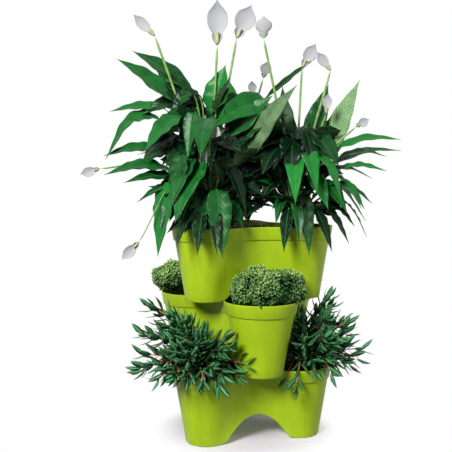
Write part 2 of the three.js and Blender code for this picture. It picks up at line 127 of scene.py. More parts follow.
def make_piece(name, shape, materials, body, slot, nodes, crease=NO_CREASE, thickness=0.0, merge=MERGE):
    """A mesh object at the origin that stands in for nodes of the model. Points nearer than merge
    become one, edges sharper than crease degrees stay sharp, and thickness adds a wall on the back
    of the faces, which wears the last material."""
    mesh = bpy.data.meshes.new(name)
    mesh.from_pydata(np.concatenate(shape.points).tolist(), [], shape.faces)
    corner = np.zeros(len(mesh.loops), np.int32)
    mesh.loops.foreach_get("vertex_index", corner)
    uv_layer = mesh.uv_layers.new(name="UVMap")
    uv_layer.data.foreach_set("uv", np.concatenate(shape.uv)[corner].astype(np.float32).ravel())
    tone = mesh.attributes.new("tone", "FLOAT", "POINT")
    tone.data.foreach_set("value", np.concatenate(shape.tone).astype(np.float32))
    for material in materials:
        mesh.materials.append(material)
    if merge > 0:
        work = bmesh.new()
        work.from_mesh(mesh)
        bmesh.ops.remove_doubles(work, verts=work.verts, dist=merge)
        work.to_mesh(mesh)
        work.free()
    mesh.polygons.foreach_set("use_smooth", np.ones(len(mesh.polygons), bool))
    if crease < NO_CREASE:
        mesh.set_sharp_from_angle(angle=np.radians(crease))
    piece = bpy.data.objects.new(name, mesh)
    bpy.context.scene.collection.objects.link(piece)
    if thickness > 0:
        wall = piece.modifiers.new("wall", "SOLIDIFY")
        wall.thickness = thickness
        wall.offset = -1
        wall.material_offset = len(materials) - 1
    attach(piece, body)
    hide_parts(*nodes)
    print(name, len(mesh.vertices), "points", len(mesh.polygons), "faces")


print("a closed grid of 3 rows and 8 columns has", len(grid_faces(3, 8, closed=True)), "faces")

# %% [markdown]
# ## Colours and nodes
# A colour is easiest to choose as the hex value seen on a screen, but shaders add light, so they
# need it on a linear scale. One function does that step for every colour. One more function adds
# any node with its settings and links, so that each material below reads as a list of what it is.

# %% Helpers for materials
def linear(hexcode):
    """sRGB to linear: a value c becomes c/12.92 up to 0.04045, and ((c + 0.055)/1.055)^2.4 above."""
    srgb = np.array([int(hexcode[i:i + 2], 16) for i in (1, 3, 5)]) / 255
    value = np.where(srgb <= 0.04045, srgb / 12.92, ((srgb + 0.055) / 1.055) ** 2.4)
    return (*value.tolist(), 1.0)


MIX_A, MIX_B, MIX_OUT = 6, 7, 2


def add(tree, kind, values, output=None):
    """Adds a node. values maps its properties and inputs to numbers, colours or other nodes'
    outputs. Properties come first, because they can change the inputs. Gives the node, or the
    output that is named."""
    node = tree.nodes.new("ShaderNode" + kind)
    properties = [name for name in values if isinstance(name, str) and name not in node.inputs]
    for name in properties:
        setattr(node, name, values[name])
    for name in values:
        if name in properties:
            continue
        if isinstance(values[name], bpy.types.NodeSocket):
            tree.links.new(values[name], node.inputs[name])
        else:
            node.inputs[name].default_value = values[name]
    return node if output is None else node.outputs[output]


def new_material(name):
    """A material with an empty node tree."""
    material = bpy.data.materials.new(name)
    material.use_nodes = True
    material.node_tree.nodes.clear()
    return material, material.node_tree


print("the middle grey #808080 is", round(linear("#808080")[0], 3), "on the linear scale")

# %% [markdown]
# ## Lime polypropylene
# The pots are moulded polypropylene, coloured all through, with the satin skin that a spark-eroded
# mould gives. It could be one plain green, but a real moulding shows three things: a fine grain,
# faint upright streaks where the plastic flowed up the wall, and a slow mottle where handling has
# dulled the skin. All three come from noise on the object's own coordinates. Streaks and mottle
# have their real sizes. The grain, really about a tenth of a millimetre, would not show, so it is
# drawn 0.6 mm across.

# %% Satin moulded polypropylene
GRAIN, GRAIN_DEPTH = 0.6 * MM, 0.12 * MM
STREAK, STREAK_STRETCH = 9 * MM, 0.06
MOTTLE = 60 * MM


def pot_plastic():
    """Lime body colour with upright streaks, a fine grain and a soft mottle in its gloss."""
    material, tree = new_material("satin moulded lime polypropylene")
    place = add(tree, "TexCoord", {}, "Object")
    stretched = add(tree, "Mapping", {"Vector": place, "Scale": (1.0, 1.0, STREAK_STRETCH)}, 0)
    streaks = add(tree, "TexNoise", {"Vector": stretched, "Scale": 1 / STREAK, "Detail": 3.0}, 0)
    mottle = add(tree, "TexNoise", {"Vector": place, "Scale": 1 / MOTTLE, "Detail": 2.0}, 0)
    grain = add(tree, "TexNoise", {"Vector": place, "Scale": 1 / GRAIN, "Detail": 2.0}, 0)
    flow = add(tree, "MapRange", {"Value": streaks, "From Min": 0.35, "From Max": 0.65}, 0)
    two_limes = {"data_type": "RGBA", 0: flow, MIX_A: linear("#a1bf16"), MIX_B: linear("#abca1a")}
    body = add(tree, "Mix", two_limes, MIX_OUT)
    aged = add(tree, "MapRange", {"Value": mottle, "From Min": 0.3, "From Max": 0.8}, 0)
    aged = {"data_type": "RGBA", 0: aged, MIX_A: body, MIX_B: linear("#9bb818")}
    body = add(tree, "Mix", aged, MIX_OUT)
    rough = add(tree, "MapRange", {"Value": mottle, "To Min": 0.4, "To Max": 0.52}, 0)
    skin = add(tree, "Math", {"operation": "MULTIPLY_ADD", 0: streaks, 1: 2.0, 2: grain}, 0)
    normal = add(tree, "Bump", {"Height": skin, "Strength": 0.25, "Distance": GRAIN_DEPTH}, 0)
    surface = {"Base Color": body, "Roughness": rough, "Normal": normal, "IOR": 1.49}
    surface["Specular IOR Level"] = 0.3
    add(tree, "OutputMaterial", {"Surface": add(tree, "BsdfPrincipled", surface, 0)})
    return material


POT_PLASTIC = pot_plastic()
print("material", POT_PLASTIC.name)

# %% [markdown]
# ## Outline of a pot
# Seen from above, a pot is three round lobes joined by webs that curve inwards. It could be drawn
# with straight lines and rounded corners, but the real one flows from lobe to web without a
# corner. That asks for two sets of arcs that share their tangents: the lobe's circle, and a large
# circle outside the pot that touches both neighbouring lobes.

# %% Outline of the lobes and webs
WEB_SHARE = 0.35


def along_wall(foot, rim, z):
    """A size at height z, between its value at the foot and its value at the rim."""
    return foot + (rim - foot) * z / POT_HEIGHT


def web_circle(z):
    """Radius of the lobe and its distance, then radius and distance of the circle that touches two
    lobes. Seen from the axis towards the web at w, a lobe of radius r lies f ahead and s aside,
    and the circle's radius is (g^2 + s^2 - r^2) / (2 (r - g)), where g = w - f."""
    radius = along_wall(FOOT_RADIUS, LOBE_RADIUS, z)
    distance = along_wall(FOOT_DISTANCE, LOBE_DISTANCE, z)
    web = along_wall(FOOT_WEB, RIM_WEB, z)
    gap = web - distance * np.cos(SIXTH)
    sideways = distance * np.sin(SIXTH)
    web_radius = (gap**2 + sideways**2 - radius**2) / (2 * (radius - gap))
    return radius, distance, web_radius, web + web_radius


def arcs(places, z, grow):
    """x and y of points on the arcs. A place runs from 0 to 3 round the pot: whole numbers are the
    middles of lobes and halves the middles of webs. grow moves the outline outwards."""
    sector = np.floor(places)
    q = 2 * (places - sector) - 1
    across = FIRST_LOBE + (2 * sector + 1) * SIXTH
    radius, distance, web_radius, web_centre = web_circle(z)
    lobe_half = np.arctan2(web_centre * np.sin(SIXTH), web_centre * np.cos(SIXTH) - distance)
    web_half = np.arctan2(distance * np.sin(SIXTH), web_centre - distance * np.cos(SIXTH))
    on_web = np.abs(q) <= WEB_SHARE
    lobe = across + np.sign(q) * SIXTH
    centre_azimuth = np.where(on_web, across, lobe)
    centre = np.where(on_web, web_centre, distance)
    size = np.where(on_web, web_radius - grow, radius + grow)
    from_lobe = lobe - np.sign(q) * lobe_half * (1 - np.abs(q)) / (1 - WEB_SHARE)
    angle = np.where(on_web, across + np.pi - web_half * q / WEB_SHARE, from_lobe)
    x = centre * np.cos(centre_azimuth) + size * np.cos(angle)
    y = centre * np.sin(centre_azimuth) + size * np.sin(angle)
    return x, y


def outline(places, z, grow):
    """The wall runs straight from the arcs at the foot to the arcs at the rim."""
    share = z / POT_HEIGHT
    (foot_x, foot_y), (rim_x, rim_y) = arcs(places, 0.0, grow), arcs(places, POT_HEIGHT, grow)
    return foot_x + (rim_x - foot_x) * share, foot_y + (rim_y - foot_y) * share


def to_tier(points, tier):
    """Points of a pot at the foot, turned and lifted to its tier."""
    c, s = np.cos(tier_turn(tier)), np.sin(tier_turn(tier))
    x, y, z = np.moveaxis(np.asarray(points, float), -1, 0)
    return np.stack([x * c - y * s, x * s + y * c, z + tier * TIER_PITCH], axis=-1)


rim_x, rim_y = outline(np.linspace(0, 3, 300), POT_HEIGHT, BAND_STEP)
print("rim", round(np.ptp(rim_x) / MM), "by", round(np.ptp(rim_y) / MM), "mm")

# %% [markdown]
# ## The moulded pot
# A pot is one shell 2.6 mm thick: a wall that leans out as it rises, a band at the rim, and three
# arched vaults beneath that leave three feet. Cutting arches with a boolean leaves ragged faces,
# so the wall's lowest row of points is put on the arch's edge to begin with. Each vault is then a
# grid from that edge to the middle of the pot, and each sole a fan from the vaults' corner.
# The same function gives the inner skin, drawn a wall's thickness inside and turned round.

# %% Skins of the pot
FOOT_COLUMNS, ARCH_COLUMNS, VAULT_ROWS, WALL_ROWS = 14, 24, 5, 9
EDGE_SHARES = (0.0, 0.12, 0.4, 1.0)
ARCH_FLARE = 14 * MM
ARCH_PASSES = 12


def edge_grow(z, grow):
    """The outline draws in at the foot by a quarter round, FOOT_EDGE in radius."""
    share = np.clip((z + grow) / FOOT_EDGE, 0, 1)
    return grow - FOOT_EDGE * (1 - np.sqrt(1 - (1 - share) ** 2))


def arch_places(grow, half):
    """Places of the columns, with one exactly where each arch comes down to the floor."""
    q = np.linspace(0, WEB_SHARE, 200)
    x, y = outline((q + 1) / 2, -grow, edge_grow(-grow, grow))
    across = FIRST_LOBE + SIXTH
    end = np.interp(half, y * np.cos(across) - x * np.sin(across), q)
    foot = np.linspace(end, 1, FOOT_COLUMNS, endpoint=False)
    arch = np.linspace(-end, end, ARCH_COLUMNS, endpoint=False)
    shares = np.concatenate([np.linspace(-1, -end, FOOT_COLUMNS, endpoint=False), arch, foot])
    return np.concatenate([sector + (shares + 1) / 2 for sector in range(3)])


def pot_skin(shape, tier, grow, top_rows, flip):
    """Wall, vaults and soles. The arch's height over the floor is H (1 - (x/W)^2) at x from its
    middle, eased into the floor, and the wall's lowest points are put on it a few times over."""
    half, crown = ARCH_HALF_WIDTH - grow, ARCH_HEIGHT - grow
    places = arch_places(grow, half)
    columns = len(places)
    per_sector = columns // 3
    across = FIRST_LOBE + (2 * np.floor(places) + 1) * SIXTH
    low = np.full(columns, -grow)
    for _ in range(ARCH_PASSES):
        x, y = outline(places, low, edge_grow(low, grow))
        lateral = y * np.cos(across) - x * np.sin(across)
        rise = crown * (1 - (lateral / half) ** 2) + grow
        flare = ARCH_FLARE / 4 * np.clip(1 - np.abs(rise) / ARCH_FLARE, 0, 1) ** 2
        low = np.maximum(rise, 0) + flare - grow
    first = top_rows[0][0]
    rows = [low + share * FOOT_EDGE for share in EDGE_SHARES]
    wall_shares = np.linspace(0, 1, WALL_ROWS + 1)[1:-1]
    rows += [rows[-1] + (first - rows[-1]) * share for share in wall_shares]
    z = np.stack(rows + [np.full(columns, height) for height, _ in top_rows])
    grows = np.concatenate([edge_grow(np.stack(rows), grow), [np.full(columns, g) for _, g in top_rows]])
    x, y = outline(places, z, grows)
    wall = np.stack([x, y, z], axis=-1)
    shape.add(to_tier(wall, tier), grid_faces(len(z), columns, closed=True, flip=flip))
    depth = np.linspace(0, 1, VAULT_ROWS + 1)[:, None, None]
    for sector in range(3):
        pick = sector * per_sector + FOOT_COLUMNS + np.arange(ARCH_COLUMNS + 1)
        ahead = outwards(FIRST_LOBE + (2 * sector + 1) * SIXTH)
        sideways = np.cross(UP, ahead)
        inner = np.abs(lateral[pick])[:, None] / np.sqrt(3) * ahead + lateral[pick][:, None] * sideways
        inner[:, 2] = low[pick]
        vault = inner + depth * (wall[0, pick] - inner)
        shape.add(to_tier(vault, tier), grid_faces(VAULT_ROWS + 1, ARCH_COLUMNS + 1, flip=flip))
        pick = (sector * per_sector + np.arange(-FOOT_COLUMNS, FOOT_COLUMNS + 1)) % columns
        corner = outwards(FIRST_LOBE + 2 * sector * SIXTH) * half * 2 / np.sqrt(3) + UP * low[pick[0]]
        sole = corner + depth * (wall[0, pick] - corner)
        shape.add(to_tier(sole, tier), grid_faces(VAULT_ROWS + 1, 2 * FOOT_COLUMNS + 1, flip=flip))
    return wall[-1]


print("columns round the wall", len(arch_places(0.0, ARCH_HALF_WIDTH)))

# %% One pot a tier
SOFT = 0.35 * MM
LIP = 5 * MM
POT_CREASE = 32
BAND_FLOOR = POT_HEIGHT - BAND_HEIGHT
OUTER_ROWS = (
    (BAND_FLOOR, 0.0),
    (BAND_FLOOR, BAND_STEP - 2 * SOFT),
    (BAND_FLOOR + SOFT, BAND_STEP - SOFT / 2),
    (BAND_FLOOR + 3 * SOFT, BAND_STEP),
    (POT_HEIGHT - LIP, BAND_STEP),
    (POT_HEIGHT - 3 * SOFT, BAND_STEP),
    (POT_HEIGHT - SOFT, BAND_STEP - SOFT),
    (POT_HEIGHT, BAND_STEP - 3 * SOFT),
)
INSIDE = BAND_STEP - WALL
INNER_ROWS = (
    (BAND_FLOOR + WALL, -WALL),
    (BAND_FLOOR + WALL, INSIDE),
    (POT_HEIGHT - LIP, INSIDE),
    (POT_HEIGHT - 2 * SOFT, INSIDE),
    (POT_HEIGHT, INSIDE + 2 * SOFT),
)
for tier, name in enumerate(TIERS):
    shape = Shape()
    outer = pot_skin(shape, tier, 0.0, OUTER_ROWS, flip=False)
    inner = pot_skin(shape, tier, -WALL, INNER_ROWS, flip=True)
    shape.add(to_tier(np.stack([outer, inner]), tier), grid_faces(2, len(outer), closed=True))
    node, body = name + "_pot", name + "_tier"
    make_piece(node + "_shell", shape, [POT_PLASTIC], body, "pot", [node], POT_CREASE)

# %% [markdown]
# ## Damp compost
# The pots are filled with peat-free compost: dark brown crumbs of a few millimetres with paler
# bits of bark. A photograph of soil would do, but noise at two sizes does as well: large for the
# damp and dry patches, and small cells for the crumbs. The filling follows the pot's inner skin,
# and its top gets a rippled surface and five hundred loose crumbs of eight faces each, which keep
# away from the wall.

# %% Compost in each pot
COMPOST_GAP = 0.4 * MM
CRUMB_CELL, CRUMB_DEPTH, DAMP_PATCH = 3 * MM, 1.5 * MM, 25 * MM
RIPPLE_HEIGHT, RIPPLE_SIZE, RIPPLE_ROWS = 1.2 * MM, 16 * MM, 20
CRUMBS, CRUMB_AREA_SHARE, CRUMB_LIFT = 500, 0.88, 1.5 * MM
COMPOST_CREASE, COMPOST_MERGE = 40, 0.001 * MM
OCTAHEDRON = np.array([[1, 0, 0], [0, 1, 0], [-1, 0, 0], [0, -1, 0], [0, 0, 1], [0, 0, -1]], float)
UPPER_FACES = [[i, (i + 1) % 4, 4] for i in range(4)]
LOWER_FACES = [[(i + 1) % 4, i, 5] for i in range(4)]
OCTA_FACES = np.array(UPPER_FACES + LOWER_FACES)


def compost_material():
    """Nearly black brown with bark flecks, rough, with a bump of crumbs 3 mm across."""
    material, tree = new_material("damp potting compost")
    place = add(tree, "TexCoord", {}, "Object")
    crumbs = add(tree, "TexVoronoi", {"Vector": place, "Scale": 1 / CRUMB_CELL})
    patches = add(tree, "TexNoise", {"Vector": place, "Scale": 1 / DAMP_PATCH, "Detail": 4.0}, 0)
    chance = add(tree, "SeparateColor", {"Color": crumbs.outputs["Color"]}, 0)
    flecks = add(tree, "MapRange", {"Value": chance, "From Min": 0.86, "From Max": 0.95}, 0)
    dry = add(tree, "MapRange", {"Value": patches, "From Min": 0.35, "From Max": 0.7}, 0)
    soil = {"data_type": "RGBA", 0: dry, MIX_A: linear("#150e0b"), MIX_B: linear("#2b1e16")}
    soil = add(tree, "Mix", soil, MIX_OUT)
    soil = {"data_type": "RGBA", 0: flecks, MIX_A: soil, MIX_B: linear("#523825")}
    soil = add(tree, "Mix", soil, MIX_OUT)
    lumps = {"Height": crumbs.outputs["Distance"], "Strength": 0.8, "Distance": CRUMB_DEPTH}
    surface = {"Base Color": soil, "Roughness": 0.95, "Normal": add(tree, "Bump", lumps, 0)}
    add(tree, "OutputMaterial", {"Surface": add(tree, "BsdfPrincipled", surface, 0)})
    return material


def ripple(x, y, seed, size, waves=14):
    """Sum of sine waves in seeded directions with wavelengths from size to a third of it, mostly
    between -1 and 1."""
    rng = np.random.default_rng(seed)
    heading, phase = rng.uniform(0, TURN, (2, waves))
    number = TURN / (size * rng.uniform(0.33, 1, waves))
    along = x[..., None] * np.cos(heading) + y[..., None] * np.sin(heading)
    return np.sin(along * number + phase).sum(-1) / np.sqrt(waves)


COMPOST = compost_material()
FILLED_ROWS = (
    (BAND_FLOOR + WALL, -WALL - COMPOST_GAP),
    (BAND_FLOOR + WALL, INSIDE - COMPOST_GAP),
    (COMPOST_LEVEL, INSIDE - COMPOST_GAP),
)
for tier, name in enumerate(TIERS):
    rng = np.random.default_rng(40 + tier)
    shape = Shape()
    edge = pot_skin(shape, tier, -WALL - COMPOST_GAP, FILLED_ROWS, flip=False)
    share = np.linspace(1, 0, RIPPLE_ROWS)[:, None]
    x, y = share * edge[:, 0], share * edge[:, 1]
    swell = 1 + ripple(x, y, 7 + tier, RIPPLE_SIZE)
    z = COMPOST_LEVEL + RIPPLE_HEIGHT * swell * (1 - share**12)
    top = np.stack([x, y, z], axis=-1)
    shape.add(to_tier(top, tier), grid_faces(RIPPLE_ROWS, len(edge), closed=True))
    column = rng.integers(0, len(edge), CRUMBS)
    reach = np.sqrt(rng.uniform(0, CRUMB_AREA_SHARE, CRUMBS))
    size = rng.uniform(1, 3.2, CRUMBS) * MM
    height = COMPOST_LEVEL + CRUMB_LIFT + size / 3
    centre = np.stack([reach * edge[column, 0], reach * edge[column, 1], height], axis=-1)
    crumb = OCTAHEDRON * rng.uniform(0.6, 1.3, (CRUMBS, 6, 1)) * size[:, None, None]
    faces = OCTA_FACES[None] + 6 * np.arange(CRUMBS)[:, None, None]
    shape.add(to_tier(centre[:, None] + crumb, tier), faces.reshape(-1, 3))
    node, body = name + "_compost", name + "_tier"
    finish = {"crease": COMPOST_CREASE, "merge": COMPOST_MERGE}
    make_piece(node + "_fill", shape, [COMPOST], body, "compost", [node], **finish)

# %% [markdown]
# ## Keeping the plants off the pots
# Leaves lie against the pots but never in them. A ray test against the mesh would find the
# strays, but not the way out. The pot's own outline gives both: the nearest of its points, and
# the direction that points outwards there.

# %% Distance from a pot
RIM_BITE = 1 * MM
ROOT_DEPTH = 60 * MM
RING_PLACES = np.linspace(0, 3, 150, endpoint=False)
FOOT_RING = np.stack(outline(RING_PLACES, 0.0, 0.0), axis=-1)
RIM_RING = np.stack(outline(RING_PLACES, POT_HEIGHT, 0.0), axis=-1)
RING_ALONG = np.roll(RIM_RING, -1, axis=0) - np.roll(RIM_RING, 1, axis=0)
RING_OUT = np.stack([RING_ALONG[:, 1], -RING_ALONG[:, 0]], axis=-1)
RING_OUT /= np.linalg.norm(RING_OUT, axis=1, keepdims=True)


def pot_gap(points, tier):
    """How far points lie outside a pot's widest wall, negative inside, the level direction away
    from it and the height on the pot: the distance from the nearest outline point, measured along
    the outline's normal there."""
    c, s = np.cos(tier_turn(tier)), np.sin(tier_turn(tier))
    flat = points.reshape(-1, 3)
    level = np.stack([flat[:, 0] * c + flat[:, 1] * s, flat[:, 1] * c - flat[:, 0] * s], axis=-1)
    height = flat[:, 2] - tier * TIER_PITCH
    share = np.clip(height / POT_HEIGHT, 0, 1)[:, None, None]
    ring = FOOT_RING + share * (RIM_RING - FOOT_RING)
    offset = level[:, None] - ring
    nearest = np.argmin((offset**2).sum(-1), axis=1)
    out = RING_OUT[nearest]
    gap = (offset[np.arange(len(flat)), nearest] * out).sum(-1)
    gap = gap - np.where(height > BAND_FLOOR, BAND_STEP, 0.0)
    away = np.stack([out[:, 0] * c - out[:, 1] * s, out[:, 0] * s + out[:, 1] * c], axis=-1)
    shape = points.shape[:-1]
    return gap.reshape(shape), away.reshape(shape + (2,)), height.reshape(shape)


def taken(gap, height, clearance):
    """True where a point is in the room of a pot. The mouth above the compost is free."""
    in_mouth = (gap < -(BAND_STEP + WALL + clearance)) & (height > COMPOST_LEVEL)
    return (gap < clearance) & (height > -clearance) & (height < POT_HEIGHT + clearance) & ~in_mouth


def push_clear(points, tiers, clearance):
    """Points in the room of a pot move level away from it, those in its rim move up on it and those
    in its compost move up on that."""
    points = np.array(points, float)
    for tier in tiers:
        gap, away, height = pot_gap(points, tier)
        inside = taken(gap, height, clearance)
        in_roots = (height > COMPOST_LEVEL - ROOT_DEPTH) & (height <= COMPOST_LEVEL)
        sunk = inside & (gap < -(BAND_STEP + WALL)) & in_roots
        on_rim = inside & (gap < -RIM_BITE) & (height > COMPOST_LEVEL)
        beside = inside & ~on_rim & ~sunk
        points[..., :2] += away * (beside * (clearance - gap))[..., None]
        points[..., 2] += on_rim * (POT_HEIGHT + clearance - height)
        points[..., 2] += sunk * (COMPOST_LEVEL + clearance - height)
    return points


print("gap at the axis", pot_gap(np.array([[0.0, 0.0, 0.05]]), 0)[0] / MM, "mm")

# %% [markdown]
# ## Curves that plants follow
# A stalk or a leaf is a surface carried along a bent line. A handful of knots chosen by hand and
# a smooth curve through them is quicker to shape than a Bezier with handles. The curve is a
# centripetal Catmull-Rom, which never loops between knots that stand close together.

# %% Paths, tubes and blades
def smooth_path(knots, shares):
    """Centripetal Catmull-Rom: between knots b and c with neighbours a and d, a cubic whose end
    slopes come from the square roots of the knots' distances."""
    knots = np.asarray(knots, float)
    ends = np.vstack([2 * knots[0] - knots[1], knots, 2 * knots[-1] - knots[-2]])
    place = np.clip(shares, 0, 1) * (len(knots) - 1)
    piece = np.minimum(place.astype(int), len(knots) - 2)
    t = (place - piece)[:, None]
    a, b, c, d = (ends[piece + k] for k in range(4))
    steps = (b - a, c - b, d - c)
    g, h, k = (np.sqrt(np.linalg.norm(step, axis=1, keepdims=True)) for step in steps)
    start = ((b - a) / g - (c - a) / (g + h) + (c - b) / h) * h
    stop = ((c - b) / h - (d - b) / (h + k) + (d - c) / k) * h
    square, cube = 3 * (c - b) - 2 * start - stop, 2 * (b - c) + start + stop
    return b + start * t + square * t**2 + cube * t**3


def unit(vectors):
    """Vectors divided by their length."""
    return vectors / np.maximum(np.linalg.norm(vectors, axis=-1, keepdims=True), 1e-12)


def tube(path, side, radius, sides=8):
    """Rings of a radius round a path that lies in the plane square to side. The end rings close
    to a point."""
    tangent = unit(np.gradient(path, axis=0))
    normal = np.cross(side, tangent)
    radius = np.broadcast_to(radius, (len(path),)).copy()
    radius[[0, -1]] = 0
    angle = np.linspace(0, TURN, sides, endpoint=False)
    level = np.broadcast_to(side, (len(path), 1, 3))
    ring = np.cos(angle)[:, None] * level + np.sin(angle)[:, None] * normal[:, None]
    points = path[:, None] + ring * radius[:, None, None]
    return points, grid_faces(len(path), sides, closed=True, flip=True)


print("middle of a test path", smooth_path([[0, 0, 0], [1, 0, 1], [2, 0, 0]], np.array([0.5])))

# %% [markdown]
# ## Leaf finishes
# A peace lily's leaf is glossy, deep green, with side veins that leave the midrib every five
# millimetres and bend towards the tip. The skin could be painted in one tone, but leaves of a
# clump differ with age, so every leaf carries its own tone. The tone also carries painted shade:
# leaves deep in a clump are given a darker one. The surface's UV map is in tenths of a metre along
# and across the blade, so the veins keep their spacing on a leaf of any size. At five millimetres
# they would blur from where the tower is seen, so they are drawn 14 mm apart.
# The wax gives the upper side a sharp sheen, and the underside is paler and duller.

# %% Waxy leaves
UV_UNIT = 0.1
MIDRIB_HALF, VEIN_DEPTH = 1.2 * MM, 0.4 * MM
LEAF_CLOUD = 18 * MM


def leaf_material(name, dark, bright, rib, stripes, vein, rough, slope):
    """Tone picks between dark and bright. Veins are a sine of the distance along the blade less
    slope times the distance across, drawn in the rib's colour as strongly as stripes says, and the
    midrib fades out 1.2 mm to either side."""
    material, tree = new_material(name)
    place = add(tree, "TexCoord", {})
    parts = add(tree, "SeparateXYZ", {"Vector": place.outputs["UV"]}).outputs
    beside = add(tree, "Math", {"operation": "ABSOLUTE", 0: parts["Y"]}, 0)
    phase = add(tree, "Math", {"operation": "MULTIPLY_ADD", 0: beside, 1: -slope, 2: parts["X"]}, 0)
    phase = add(tree, "Math", {"operation": "MULTIPLY", 0: phase, 1: TURN * UV_UNIT / vein}, 0)
    wave = add(tree, "Math", {"operation": "SINE", 0: phase}, 0)
    from_rib = {"Value": beside, "From Max": MIDRIB_HALF / UV_UNIT, "To Min": 1.0, "To Max": 0.0}
    midrib = add(tree, "MapRange", from_rib, 0)
    tone = add(tree, "Attribute", {"attribute_name": "tone"}, "Fac")
    cloud = {"Vector": place.outputs["Object"], "Scale": 1 / LEAF_CLOUD, "Detail": 3.0}
    cloud = add(tree, "TexNoise", cloud, 0)
    shade = add(tree, "MapRange", {"Value": cloud, "To Min": -0.25, "To Max": 0.25}, 0)
    shade = add(tree, "Math", {"operation": "ADD", "use_clamp": True, 0: tone, 1: shade}, 0)
    skin = {"data_type": "RGBA", 0: shade, MIX_A: linear(dark), MIX_B: linear(bright)}
    skin = add(tree, "Mix", skin, MIX_OUT)
    stripe = add(tree, "MapRange", {"Value": wave, "From Min": 0.3, "To Max": stripes}, 0)
    skin = add(tree, "Mix", {"data_type": "RGBA", 0: stripe, MIX_A: skin, MIX_B: linear(rib)}, MIX_OUT)
    line = add(tree, "Math", {"operation": "MULTIPLY", 0: midrib, 1: 0.4}, 0)
    skin = add(tree, "Mix", {"data_type": "RGBA", 0: line, MIX_A: skin, MIX_B: linear(rib)}, MIX_OUT)
    height = add(tree, "Math", {"operation": "MULTIPLY_ADD", 0: wave, 1: 0.5, 2: midrib}, 0)
    relief = {"Height": height, "Strength": 0.25, "Distance": VEIN_DEPTH, "invert": True}
    relief = add(tree, "Bump", relief, 0)
    surface = {"Base Color": skin, "Roughness": rough, "Normal": relief, "IOR": 1.5}
    surface["Specular IOR Level"] = 0.17
    add(tree, "OutputMaterial", {"Surface": add(tree, "BsdfPrincipled", surface, 0)})
    return material


LILY_VEIN, SHRUB_VEIN = 14 * MM, 5 * MM
# The dark greens are near black, so that a low tone paints the shade deep in a clump or a bush.
TOP_GREENS = ("#00180a", "#25943a", "#4a8f3c")
UNDER_GREENS = ("#08290f", "#9cc788", "#2c5f30")
SHRUB_GREENS = ("#000c08", "#409a55", "#9fd0a0")
LILY_TOP = leaf_material("waxy lily leaf", *TOP_GREENS, 0.08, LILY_VEIN, 0.32, 2.0)
LILY_UNDER = leaf_material("matt lily leaf underside", *UNDER_GREENS, 0.5, LILY_VEIN, 0.5, 2.0)
SHRUB_LEAF = leaf_material("leathery shrub leaf", *SHRUB_GREENS, 0.12, SHRUB_VEIN, 0.24, 0.8)
print("leaf materials", LILY_TOP.name, "|", LILY_UNDER.name, "|", SHRUB_LEAF.name)


# %% Stems and stonecrop leaves
STEM_CLOUD, STEM_DEPTH = 12 * MM, 0.3 * MM


def stem_material(name, low, high, rough=0.45):
    """A smooth stem whose colour runs between two shades with its tone and a slow noise."""
    material, tree = new_material(name)
    place = add(tree, "TexCoord", {}, "Object")
    cloud = add(tree, "TexNoise", {"Vector": place, "Scale": 1 / STEM_CLOUD, "Detail": 2.0}, 0)
    tone = add(tree, "Attribute", {"attribute_name": "tone"}, "Fac")
    shade = add(tree, "MapRange", {"Value": cloud, "To Min": -0.5, "To Max": 0.5}, 0)
    shade = add(tree, "Math", {"operation": "ADD", "use_clamp": True, 0: tone, 1: shade}, 0)
    colour = {"data_type": "RGBA", 0: shade, MIX_A: linear(low), MIX_B: linear(high)}
    colour = add(tree, "Mix", colour, MIX_OUT)
    relief = add(tree, "Bump", {"Height": cloud, "Strength": 0.3, "Distance": STEM_DEPTH}, 0)
    surface = {"Base Color": colour, "Roughness": rough, "Normal": relief, "IOR": 1.45}
    surface["Specular IOR Level"] = 0.35
    add(tree, "OutputMaterial", {"Surface": add(tree, "BsdfPrincipled", surface, 0)})
    return material


LILY_STALK = stem_material("smooth lily stalk", "#1d4a1c", "#8fb95e", 0.35)
SHRUB_STEM = stem_material("reddish woody stem", "#5a3a22", "#dd7a38")
STONECROP = stem_material("plump stonecrop leaf", "#12501e", "#c8ef8a", 0.5)
SHADE = stem_material("stonecrop stems in shade", "#060d06", "#16221a", 0.9)
print("stem materials", LILY_STALK.name, "|", SHRUB_STEM.name, "|", STONECROP.name)

# %% [markdown]
# ## Peace lilies
# Each lily is a clump of long-stalked leaves. Scattering copies of one leaf would give a plant,
# but not this one, so the leaves that can be told apart are placed one by one: where the blade
# starts, where its tip is, how wide it is, how far it arches and how far its face is rolled. A
# fan of sixty seeded leaves in the middle of each clump then closes the gaps between the stalks,
# where light hardly reaches.

# %% Table of the lilies' leaves
LILY_DISTANCE = 112 * MM
LILY_HEIGHT = 400 * MM
LILY_REACH = 240 * MM
LILY_WIDTH = 60 * MM
